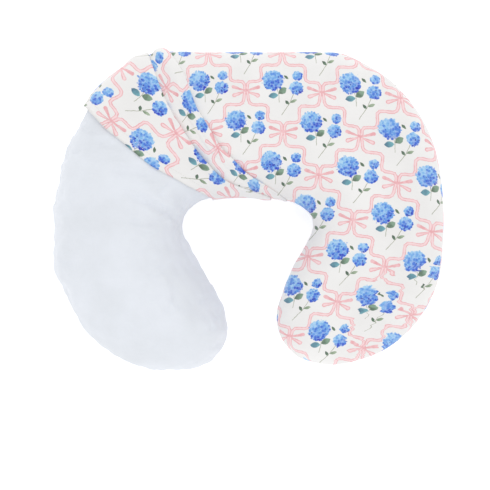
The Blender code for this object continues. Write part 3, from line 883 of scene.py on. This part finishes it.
def settle_skin(thing, sizes):
    """Blow the skin up against its own slack, then hold each point near where it started."""
    before = vertex_array(thing.data)
    pins = thing.vertex_groups.new(name="held")
    bare = bare_share(before)
    near_seam = np.abs(before[:, 2] - SEAM_HEIGHT) < 0.004
    hold = np.where(near_seam, 1.0, 1.0 - bare)
    for index in np.flatnonzero(hold > 0.01):
        pins.add([int(index)], float(hold[index]), "REPLACE")
    cloth = thing.modifiers.new("stuffing", "CLOTH")
    for key, value in STUFFING_CLOTH.items():
        setattr(cloth.settings, key, value)
    cloth.settings.uniform_pressure_force = sizes.pressure
    cloth.settings.shrink_min = -sizes.slack
    cloth.settings.effector_weights.gravity = 0.0
    cloth.collision_settings.use_collision = False
    cloth.point_cache.frame_start = 1
    cloth.point_cache.frame_end = sizes.frames
    scene = bpy.context.scene
    for step in range(1, sizes.frames + 1):
        scene.frame_set(step)
    bpy.context.view_layer.update()
    after = vertex_array(evaluated(thing).data)
    thing.modifiers.remove(cloth)
    scene.frame_set(1)
    move = after - before
    size = np.linalg.norm(move, axis=1, keepdims=True)
    limit = (sizes.swell * bare)[:, None]
    least = 1e-9
    held = limit * np.tanh(size / np.maximum(limit, least)) / np.maximum(size, least)
    set_vertices(thing.data, before + move * np.where(size > least, held, 0.0))


def sculpt_skin(mesh, sizes):
    """Creases, soft dimples and the pinch of the edge seam, as moves along the skin's normals."""
    points, normals = vertex_array(mesh), vertex_array(mesh, "normal")
    bare = bare_share(points)
    top = ease(0.2, 0.7, normals[:, 2])
    lift = 0.0014 * waves(points, 0.075, 3) + 0.0005 * waves(points, 0.022, 4)
    for line, depth, half in CREASES:
        away, along = distance_to_line(points, line)
        fade = np.sin(np.clip(along, 0.02, 0.98) * math.pi) ** 0.6
        groove = np.exp(-(away / half) ** 2)
        lips = np.exp(-((away - 2.1 * half) / (1.3 * half)) ** 2)
        lift += depth * fade * (0.35 * lips - groove) * top
    from_seam = np.abs(points[:, 2] - SEAM_HEIGHT)
    pucker = waves(points[:, :2], 0.016, 5)
    reach = 0.010 + 0.005 * pucker
    lift -= sizes.seam_pinch * np.exp(-(from_seam / 0.0035) ** 2)
    lift -= 0.0012 * (0.5 + 0.5 * pucker) * np.exp(-(from_seam / reach) ** 2)
    near_shoulder, near_tip = (np.exp(-(np.linalg.norm(points[:, :2] - spot, axis=1) / SPOT) ** 2)
                               for spot in (SHOULDER, INNER_TIP))
    lift += sizes.plump * near_tip
    points += normals * (lift * bare - sizes.squeeze * near_shoulder)[:, None]
    points[:, 2] -= bare * ease(0.030, 0.004, points[:, 2]) * (SHELL_DEPTH - FLOOR_GAP)
    floor = SHELL_DEPTH * (1.0 - bare) + FLOOR_GAP * bare
    points[:, 2] = np.maximum(points[:, 2], floor)
    set_vertices(mesh, points)


def half_of(mesh, name, above):
    """The part of a closed skin above or below the edge seam's plane."""
    shape = bmesh.new()
    shape.from_mesh(mesh)
    everything = list(shape.verts) + list(shape.edges) + list(shape.faces)
    bmesh.ops.bisect_plane(shape, geom=everything, dist=SLIVER, plane_co=(0.0, 0.0, SEAM_HEIGHT),
                           plane_no=(0.0, 0.0, 1.0), clear_inner=above, clear_outer=not above)
    return mesh_of(shape, name)


def make_skin_mesh(sizes):
    """The inner pillow's whole skin: remeshed evenly, settled as cloth, subdivided and sculpted."""
    mesh = tidy_mesh(grid_mesh("pillow_skin", skin_form(SHELL_DEPTH)))
    thing = add_object("pillow_skin", mesh, None)
    even = thing.modifiers.new("even", "REMESH")
    even.mode = "VOXEL"
    even.voxel_size = sizes.cell
    thing.data = bpy.data.meshes.new_from_object(evaluated(thing))
    thing.modifiers.clear()
    settle_skin(thing, sizes)
    finer = thing.modifiers.new("finer", "SUBSURF")
    finer.levels = 1
    finer.render_levels = 1
    smooth = bpy.data.meshes.new_from_object(evaluated(thing))
    bpy.data.objects.remove(thing)
    sculpt_skin(smooth, sizes)
    return smooth


class NURSING_OT_inner_pillow(bpy.types.Operator):
    """Make the inner pillow: its stuffing and the two panels of its skin"""

    bl_idname = "nursing.inner_pillow"
    bl_label = "Inner pillow"

    def execute(self, context):
        sizes, looks = context.scene.nursing_pillow, context.scene.nursing_looks
        core = tidy_mesh(grid_mesh("stuffing", skin_form(STUFFING_DEPTH, 160, 100)))
        stuffing = add_object("stuffing", core, fibre_fill("fibre_fill"))
        on_pillow(stuffing, "pillow_fill")
        skin = make_skin_mesh(sizes)
        cloth = pillow_cloth("white_cloth", looks)
        for name, node, above in (("pillow_top", "pillow_top_panel", True),
                                  ("pillow_bottom", "pillow_bottom_panel", False)):
            panel = add_object(name, half_of(skin, name, above), cloth)
            thicken(panel, PANEL_WALL, -1.0)
            on_pillow(panel, node)
        return {"FINISHED"}


# ---------------------------------------------------------------- the cover

BAND_COLUMNS, ROLL_COLUMNS, UNDER_COLUMNS, TURN_COLUMNS, HIDDEN_COLUMNS = 26, 9, 4, 5, 7
BODY_COLUMNS = 210
BASE_LIFT, MOUTH_LIFT, UNDER_LIFT = 0.0003, 0.0006, 0.0026
PUFF_BACK, PUFF_WIDTH = (0.022, 0.012), 0.010  # how far behind each fold's edge its puff lies
SECOND_AT_EDGE = 0.45  # the second fold's height at the edge seam, against the first's
TUCK_COVER, TUCK_AHEAD = 0.0009, 0.009  # cloth over a tuck, and how far ahead it starts to rise
RIPPLE = 0.0011
COVER_ROWS = 118, 78, 5  # rows of the top panel, of the bottom one and of the strip beside the zip


def run_table(phi):
    """Stations along the pillow, and at each how far round its length the angles phi have come."""
    stations = np.linspace(-9.0, TIP, 1601)
    points = surface(stations[:, None], phi[None, :])
    steps = np.linalg.norm(np.diff(points, axis=0), axis=-1)
    return stations, np.concatenate((np.zeros((1, len(phi))), np.cumsum(steps, axis=0)))


def to_stations(run, table):
    """Distances along the length, columns by rows, as stations."""
    stations, lengths = table
    return np.stack([np.interp(*pair, stations) for pair in zip(run.T, lengths.T)], axis=1)


def to_runs(stations_wanted, table):
    stations, lengths = table
    return np.array([np.interp(t, stations, lengths[:, j]) for j, t in enumerate(stations_wanted)])


def fold_over(edge, top, under, tuck):
    """A rolled edge, the run back under it and the turn at its end: distances and heights."""
    radius = (top - under) / 2.0
    turn = np.linspace(math.pi / 2.0, -math.pi / 2.0, ROLL_COLUMNS)[:, None]
    roll = (edge - radius + radius * np.cos(turn), (top + under) / 2.0 + radius * np.sin(turn))
    share = np.linspace(0.0, 1.0, UNDER_COLUMNS + 2)[1:-1, None]
    back = (edge - radius + (radius - tuck) * share, under * np.ones_like(share))
    small = (under - BASE_LIFT) / 2.0
    bend = np.linspace(math.pi / 2.0, math.pi * 1.5, TURN_COLUMNS)[:, None]
    end = (edge - tuck + small * np.cos(bend), BASE_LIFT + small + small * np.sin(bend))
    return [np.concatenate(parts) for parts in zip(roll, back, end)]


def sleeve_columns(phi, sizes):
    """The cover's cloth from the mouth, through two folds, to the right arm's end.

    Gives stations and heights over the form, columns by rows, and the columns where bands begin."""
    table = run_table(phi)
    around = np.where(phi < -math.pi / 2.0, phi + 2.0 * math.pi, phi)
    edge_share, waist_share = ease(0.95, 0.15, around), ease(1.9, 2.9, around)
    rise = sizes.top_rise + (sizes.outer_rise - sizes.top_rise) * edge_share
    rise = rise + (sizes.waist_rise - rise) * waist_share
    fade = ease(-1.15, -0.25, around) * ease(4.0, 3.3, around)
    mouth = to_runs(line_stations(MOUTH_LINE, phi), table)
    edges = [to_runs(line_stations(line, phi), table) for line in (FOLD_ONE, FOLD_TWO)]
    under = UNDER_LIFT * fade * (1.0 - 0.5 * waist_share)
    runs, lifts, marks = [], [], []
    start, start_lift, clear = mouth, MOUTH_LIFT, mouth
    for number, edge in enumerate(edges):
        height = rise * fade
        if number:
            height = height * (sizes.second + (SECOND_AT_EDGE - sizes.second) * edge_share)
        height = np.maximum(height, under)
        radius = (height - under) / 2.0
        tuck = np.maximum(sizes.tuck * fade, radius)
        crest = np.maximum(edge - radius, clear + 0.001)
        share = np.linspace(0.0, 1.0, BAND_COLUMNS)[:-1, None] ** 0.9
        seen = clear + (crest - clear) * share
        grow = ease(clear, np.maximum(crest, clear + 0.006), seen)
        if number:
            hidden = start + (clear - start) * np.linspace(0.0, 1.0, HIDDEN_COLUMNS + 1)[:-1, None]
            seen = np.concatenate((hidden, seen))
            grow = np.concatenate((np.zeros_like(hidden), grow))
            share = np.concatenate((np.zeros((HIDDEN_COLUMNS, 1)), share))
        ripple = RIPPLE * np.sin(share * 7.0 + 1.3 * number + 1.2 * np.sin(phi * 2.0))
        lift = start_lift + (height - start_lift) * grow ** 1.25
        lift = lift + ripple * share * (1.0 - share) * 4.0 * fade
        over_tuck = (under + TUCK_COVER) * ease(edge - tuck - TUCK_AHEAD, edge - tuck - 0.001, seen)
        lift = np.maximum(lift, np.minimum(over_tuck, height))
        puff = sizes.puff * fade * edge_share * ease(0.0, 0.3, share)
        lift = lift + puff * np.exp(-((edge - seen - PUFF_BACK[number]) / PUFF_WIDTH) ** 2)
        folded, folded_lift = fold_over(edge, height, under, tuck)
        for columns, lifted in ((seen, lift), (folded, folded_lift * np.where(fade > 0.0, 1.0, 0.0))):
            marks.append(sum(map(len, runs)))
            runs.append(columns)
            lifts.append(lifted)
        start, start_lift, clear = edge - tuck, BASE_LIFT, edge - np.minimum(0.001, tuck)
    marks.append(sum(map(len, runs)))
    hidden = start + (clear - start) * np.linspace(0.0, 1.0, HIDDEN_COLUMNS + 1)[1:-1, None]
    share = np.linspace(0.0, 1.0, BODY_COLUMNS)[:, None]
    body = clear + (table[1][-1] - clear) * share
    runs += [hidden, body]
    settling = BASE_LIFT * (1.0 - ease(0.0, 0.08, share))
    lifts += [np.full_like(hidden, BASE_LIFT), settling * np.ones_like(body)]
    return to_stations(np.concatenate(runs), table), np.concatenate(lifts), marks


def unrolled(stations, angles, middle):
    """Plan points of the form, let out along the ribs where it is steep.

    The print so goes on down the sides at nearly its true size. Columns by rows, worked out from the
    row nearest the middle angle."""
    points = surface(stations, angles)
    waist, outer, _ = ribs_at(stations)
    chord = outer - waist
    chord /= np.maximum(np.linalg.norm(chord, axis=-1, keepdims=True), 1e-6)
    chord = np.where(np.cos(angles) > 0.0, 1.0, -1.0)[..., None] * chord
    start = int(np.abs(angles[0] - middle).argmin())
    step = np.diff(points, axis=1)
    step[:, :start] *= -1.0
    length = np.linalg.norm(step, axis=-1)
    level = np.linalg.norm(step[..., :2], axis=-1)
    outward = np.sum(step[..., :2] * (chord[:, 1:] + chord[:, :-1]) / 2.0, axis=-1)
    slope = np.degrees(np.arccos(np.clip(level / np.maximum(length, 1e-9), 0.0, 1.0)))
    least = (0.55 + 0.40 * ease(60.0, 85.0, slope)) * length
    extra = np.where(level > least, 0.0, np.maximum(least - outward, 0.0))
    back = np.where((outward < 0.0) & (extra == 0.0), level - outward, 0.0)
    total = np.concatenate((np.zeros_like(extra[:, :1]), np.cumsum(extra + back, axis=1)), axis=1)
    return points[..., :2] + chord * np.abs(total - total[:, start:start + 1])[..., None]


def nearest_repeat(jump, length):
    """The shift by whole repeats of the print that makes the jump about this long."""
    best = None
    for row in range(-6, 7):
        for column in range(-6, 7):
            shift = np.array((column * REPEAT_ACROSS + row * REPEAT_ACROSS / 2.0, row * REPEAT_UP))
            size = abs(np.linalg.norm(jump + shift, axis=-1).mean() - length)
            if best is None or size < best[0]:
                best = (size, shift)
    return best[1]


def cloth_places(plan, marks, tuck):
    """Flat cloth coordinates for the top panel.

    Each band has its own grain, and the hidden runs under the folds join one to the next."""
    first, fold_one, second, fold_two, body = marks
    cloth = grain(plan, BODY_GRAIN)
    for start, fold, lie in ((second, fold_two, BAND_TWO_GRAIN),
                             (first, fold_one, BAND_ONE_GRAIN)):
        band = slice(start, fold + ROLL_COLUMNS // 2 + 1)
        cloth[band] = grain(plan[band], lie)
    for fold, after in ((fold_one, second + HIDDEN_COLUMNS),
                        (fold_two, body + HIDDEN_COLUMNS - 1)):
        last = fold + ROLL_COLUMNS // 2
        cloth[after:] += nearest_repeat(cloth[after] - cloth[last], 2.0 * tuck)
        blend = np.linspace(0.0, 1.0, after - last + 1)[:, None, None]
        cloth[last:after + 1] = cloth[last] + (cloth[after] - cloth[last]) * blend
    return cloth


def cover_wrinkles(t, phi, points):
    """Small height changes of the cover: gathers at its edge seam, slack at the waist, soft waves."""
    from_seam = np.abs(phi - SLOT_TOP)
    gather = waves(points, 0.020, 11)
    by_zip = ease(-2.0, -1.4, t) * ease(3.0, 2.4, t)
    height = -0.0009 * np.exp(-(from_seam / 0.05) ** 2) * (0.8 + 0.5 * gather) * (1.0 - by_zip)
    waist = np.exp(-((np.abs(phi) - math.pi) / 0.28) ** 2)
    height += 0.0007 * waves(points, 0.030, 12) * waist
    height += 0.00035 * waves(points, 0.060, 13)
    return height * ease(TIP, TIP - 0.35, np.abs(t))


def cover_panel(phi, sizes):
    """Points of a cover panel between its first and last angle, with stations, angles and marks."""
    stations, lifts, marks = sleeve_columns(phi, sizes)
    angles = np.broadcast_to(phi[None, :], stations.shape)
    flat = layer(stations, angles, np.full(stations.shape, COVER_DEPTH))
    lifts = lifts + cover_wrinkles(stations, angles, flat)
    points = layer(stations, angles, COVER_DEPTH - lifts)
    points[..., 2] = np.maximum(points[..., 2], COVER_DEPTH)
    return points, stations, angles, marks


class NURSING_OT_cover(bpy.types.Operator):
    """Make the printed slip cover: its two panels, the sleeve's folds, the hem and its stitches"""

    bl_idname = "nursing.cover"
    bl_label = "Cover"

    def execute(self, context):
        sizes, looks = context.scene.nursing_sleeve, context.scene.nursing_looks
        cotton = printed_cotton("printed_cotton", looks)
        top_rows, low_rows, strip_rows = COVER_ROWS
        top_angles = np.linspace(SLOT_TOP, math.pi, top_rows)
        points, stations, angles, marks = cover_panel(top_angles, sizes)
        cloth = cloth_places(unrolled(stations, angles, math.pi / 2.0), marks, sizes.tuck)
        mesh = tidy_mesh(grid_mesh("cover_top", points, cloth))
        top = add_object("cover_top", mesh, cotton)
        thicken(top, sizes.cloth)
        low_angles = np.concatenate((np.linspace(-math.pi, SLOT_BOTTOM, low_rows),
                                     np.linspace(SLOT_BOTTOM, SLOT_TOP, strip_rows)[1:]))
        low_points, stations, angles, _ = cover_panel(low_angles, sizes)
        low_cloth = grain(unrolled(stations, angles, -math.pi / 2.0), BODY_GRAIN)
        mesh = grid_mesh("cover_bottom", low_points, low_cloth)
        middle = np.full(2, ZIP_STATION)
        low, high = layer(middle, np.array((SLOT_BOTTOM, SLOT_TOP)), np.full(2, COVER_DEPTH))[:, 2]
        left, right = surface(np.array(SLOT_STATIONS), np.full(2, CHAIN_LINE))[:, 0]

        def outside_slot(face):
            centre = face.calc_center_median()
            in_slot = left < centre.x < right and low < centre.z < high
            return not (in_slot and centre.y > BACK_OF_CROWN)

        bottom = add_object("cover_bottom", tidy_mesh(mesh, outside_slot), cotton)
        thicken(bottom, sizes.cloth)
        sewing = thread("white_thread", srgb(248, 247, 244))
        stitches = self.hem_stitches(points, sizes, sewing)
        on_pillow(top, "cover_top_panel")
        on_pillow(bottom, "cover_bottom_panel")
        on_pillow(stitches)
        return {"FINISHED"}

    def hem_stitches(self, points, sizes, sewing):
        """A row of stitches round the sleeve's hem, set back from its edge."""
        band = points[:BAND_COLUMNS]
        run = np.linalg.norm(np.diff(band, axis=0), axis=-1)
        run = np.concatenate((np.zeros((1, run.shape[1])), np.cumsum(run, axis=0)))
        line = np.array([[np.interp(sizes.hem, run[:, j], band[:, j, k]) for k in range(3)]
                         for j in range(points.shape[1])])
        ahead = points[3] - points[1]
        across = np.gradient(line, axis=0)
        normals = np.cross(across, ahead)
        normals /= np.linalg.norm(normals, axis=1, keepdims=True)
        return stitch_row("hem_stitches", line + normals * sizes.cloth, normals, sewing)


# ---------------------------------------------------------------- the zip

ZIP_STATION = 0.5  # on the crown's straight back, where the zip's frame is taken from
TAPE_GRID, TAPE_WALL, TAPE_BACK, TAPE_INNER = (71, 9), 0.0005, 0.0003, 0.003
SEAM_BESIDE_ZIP = 0.0028
TOOTH_PITCH, TOOTH_BEVEL = 0.0013, 0.00022
TOOTH_SIZE = (TOOTH_PITCH * 0.42, 0.0029, 0.0016)


def zip_frame(x):
    """A frame on the chain's line at x: X along the zip, Y up the cloth, Z straight out of it."""
    _, y, z = surface(ZIP_STATION, CHAIN_LINE)
    _, out_y, out_z = surface_normal(ZIP_STATION, CHAIN_LINE)
    return frame_at((x, y, z), (0.0, out_y, out_z), (-1.0, 0.0, 0.0))


def on_cover(t, phi, above):
    """Points a little above the cover's cloth, where it lies flat."""
    base = layer(t, phi, np.full(t.shape, COVER_DEPTH))
    return layer(t, phi, COVER_DEPTH - cover_wrinkles(t, phi, base) - above)


class NURSING_OT_zip(bpy.types.Operator):
    """Make the zip's tapes, coils and stitches, and give its slider, tab and stops their metal"""

    bl_idname = "nursing.zip"
    bl_label = "Zip"

    def execute(self, context):
        cloth = tape_cloth("zip_tape")
        columns, rows = TAPE_GRID
        for name, low, high in (("zip_tape_lower", TAPE_BOTTOM, CHAIN_LINE - TAPE_INNER),
                                ("zip_tape_upper", CHAIN_LINE + TAPE_INNER, TAPE_TOP)):
            t, phi = np.meshgrid(np.linspace(*TAPE_STATIONS, columns), np.linspace(low, high, rows),
                                 indexing="ij")
            points = layer(t, phi, np.full(t.shape, TAPE_DEPTH + TAPE_BACK))
            tape = add_object("woven_" + name, grid_mesh(name, points, points[..., ::2]), cloth)
            thicken(tape, TAPE_WALL)
            on_pillow(tape, name)
        sewing = thread("zip_thread", srgb(248, 247, 244))
        for name, drop in (("zip_stitches_upper", ZIP_DROP - SLOT_HALF - SEAM_BESIDE_ZIP),
                           ("zip_stitches_lower", ZIP_DROP + SLOT_HALF + SEAM_BESIDE_ZIP)):
            t = np.linspace(*SLOT_STATIONS, 121)
            phi = np.full(t.shape, -angle_at_drop(drop))
            row = stitch_row(name, on_cover(t, phi, 0.0008), surface_normal(t, phi), sewing)
            on_pillow(row)
        nylon = coil_nylon("zip_coil")
        for name, side in (("zip_coil_upper", 1.0), ("zip_coil_lower", -1.0)):
            on_pillow(self.make_coil("toothed_" + name, side, nylon), name)
        metal = cast_zinc("zip_metal")
        for name in ("zip_slider", "zip_pull_tab", "zip_top_stop_upper", "zip_top_stop_lower",
                     "zip_bottom_stop"):
            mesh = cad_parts[name].data
            mesh.materials.clear()
            mesh.materials.append(metal)
        return {"FINISHED"}

    def make_coil(self, name, side, nylon):
        """One side's teeth, half a pitch apart from the other's so that they mesh."""
        shape = bmesh.new()
        for index in range(int((CHAIN_END - CHAIN_START) / TOOTH_PITCH)):
            x = CHAIN_START + TOOTH_PITCH * (index + 0.5 + 0.25 * side)
            tooth = zip_frame(x) @ Matrix.Translation((0.0, side * 0.0011, -0.0001))
            tooth = tooth @ Matrix.Diagonal((*TOOTH_SIZE, 1.0))
            made = bmesh.ops.create_cube(shape, size=1.0, matrix=tooth)
            edges = {edge for vertex in made["verts"] for edge in vertex.link_edges}
            bmesh.ops.bevel(shape, geom=list(edges), offset=TOOTH_BEVEL, offset_type="OFFSET",
                            segments=1, profile=0.5, affect="EDGES", material=-1)
        return add_object(name, mesh_of(shape, name), nylon)


# ---------------------------------------------------------------- labels

LABEL_GRID, LABEL_WALL = (61, 21), 0.00025
LABEL_HANG, LABEL_CURL = 0.0035, 0.0008  # how far its lower end stands off, and its sides curl
LABELS = (("inner_label", "pillow_care_label", PILLOW_LABEL_STATION, -0.0017),
          ("cover_label", "cover_care_label", COVER_LABEL_STATION, 0.0005))


def label_frame(station, drop, height):
    """A frame on the side of the pillow: X along the edge, Y up the cloth, Z out of it."""
    phi = -angle_at_drop(drop)
    out = surface_normal(station, phi)
    along = surface(station - 0.01, phi) - surface(station + 0.01, phi)
    return frame_at(surface(station, phi) + out * height, out, along)


class NURSING_OT_labels(bpy.types.Operator):
    """Make the two blank care labels, folded in half and sewn in at their top"""

    bl_idname = "nursing.labels"
    bl_label = "Care labels"

    def execute(self, context):
        finish = satin("label_satin")
        drop = ZIP_DROP - SLOT_HALF + LABEL_LENGTH / 2.0
        columns, rows = LABEL_GRID
        run = np.linspace(0.0, 2.0 * LABEL_LENGTH, columns)[:, None]
        x = np.linspace(-LABEL_WIDTH / 2.0, LABEL_WIDTH / 2.0, rows)[None, :]
        front = run > LABEL_LENGTH
        down = np.where(front, 2.0 * LABEL_LENGTH - run, run)
        share = down / LABEL_LENGTH
        gap = np.where(front, 0.0004 + 0.00027 * ease(0.0, 0.010, LABEL_LENGTH - down), 0.0)
        curl = LABEL_CURL * (x / LABEL_WIDTH * 2.0) ** 2 * share
        away = LABEL_HANG * share ** 2.2 + gap + curl
        local = np.stack(np.broadcast_arrays(x, LABEL_LENGTH / 2.0 - down, away), axis=-1)
        flat = np.stack(np.broadcast_arrays(x, run), axis=-1)
        for name, node, station, height in LABELS:
            matrix = label_frame(station, drop, height)
            points = local @ np.array(matrix.to_3x3()).T + np.array(matrix.translation)
            label = add_object(name, grid_mesh(name, points, flat), finish)
            thicken(label, LABEL_WALL, 0.0)
            on_pillow(label, node)
        return {"FINISHED"}


# ---------------------------------------------------------------- the stage

LAMPS = (("key", (0.20, 0.95, 2.10), 1.2, 6.1), ("fill", (-0.3, -1.5, 1.6), 1.8, 4.5))
SKY, FLOOR_SIZE = 0.87, 3.0
LENS, VIEW_WIDTH, VIEW_CENTRE = 500.0, 0.7036, (-0.0043, -0.0488)


class NURSING_OT_stage(bpy.types.Operator):
    """Set a pale floor, soft studio lights and a camera straight above"""

    bl_idname = "nursing.stage"
    bl_label = "Stage"

    def execute(self, context):
        scene = context.scene
        shape = bmesh.new()
        bmesh.ops.create_grid(shape, x_segments=8, y_segments=8, size=FLOOR_SIZE)
        floor = add_object("floor", mesh_of(shape, "floor"), studio_floor("studio_floor"))
        world = bpy.data.worlds.new("studio")
        world.use_nodes = True
        background = world.node_tree.nodes["Background"]
        background.inputs["Color"].default_value = (1.0, 1.0, 1.0, 1.0)
        background.inputs["Strength"].default_value = SKY
        scene.world = world
        for name, place, size, power in LAMPS:
            light = bpy.data.lights.new(name, "AREA")
            light.shape = "SQUARE"
            light.size = size
            light.energy = power
            lamp = bpy.data.objects.new(name, light)
            lamp.location = place
            lamp.rotation_euler = (-Vector(place)).to_track_quat("-Z", "Y").to_euler()
            scene.collection.objects.link(lamp)
        scene.view_settings.view_transform = "Standard"
        self.add_camera(scene)
        return {"FINISHED"}

    def add_camera(self, scene):
        """A long lens from straight above, which takes in VIEW_WIDTH at the edge seam's height."""
        camera = bpy.data.cameras.new("camera")
        camera.lens = LENS
        distance = VIEW_WIDTH * camera.lens / camera.sensor_width
        view = bpy.data.objects.new("camera", camera)
        view.location = (*VIEW_CENTRE, SEAM_HEIGHT + distance)
        scene.collection.objects.link(view)
        scene.camera = view


# ---------------------------------------------------------------- panel and registration

OPERATORS = (NURSING_OT_stage, NURSING_OT_inner_pillow, NURSING_OT_cover, NURSING_OT_zip,
             NURSING_OT_labels)


class NURSING_PT_panel(bpy.types.Panel):
    """The pieces of the nursing pillow, in making order"""

    bl_label = "Nursing Pillow"
    bl_idname = "NURSING_PT_panel"
    bl_space_type = "VIEW_3D"
    bl_region_type = "UI"
    bl_category = "Nursing Pillow"

    def draw(self, context):
        for operator in OPERATORS:
            self.layout.operator(operator.bl_idname)


SETTINGS = {"nursing_looks": PillowLooks, "nursing_sleeve": SleeveSizes, "nursing_pillow": PillowSizes}


def register():
    for kind in (*SETTINGS.values(), *OPERATORS, NURSING_PT_panel):
        bpy.utils.register_class(kind)
    for name, kind in SETTINGS.items():
        setattr(bpy.types.Scene, name, PointerProperty(type=kind))


def unregister():
    for name in SETTINGS:
        delattr(bpy.types.Scene, name)
    for kind in (NURSING_PT_panel, *reversed(OPERATORS), *reversed(SETTINGS.values())):
        bpy.utils.unregister_class(kind)


def main():
    register()
    bpy.ops.nursing.stage()
    bpy.ops.nursing.inner_pillow()
    bpy.ops.nursing.cover()
    bpy.ops.nursing.zip()
    bpy.ops.nursing.labels()


if __name__ == "__main__":
    main()
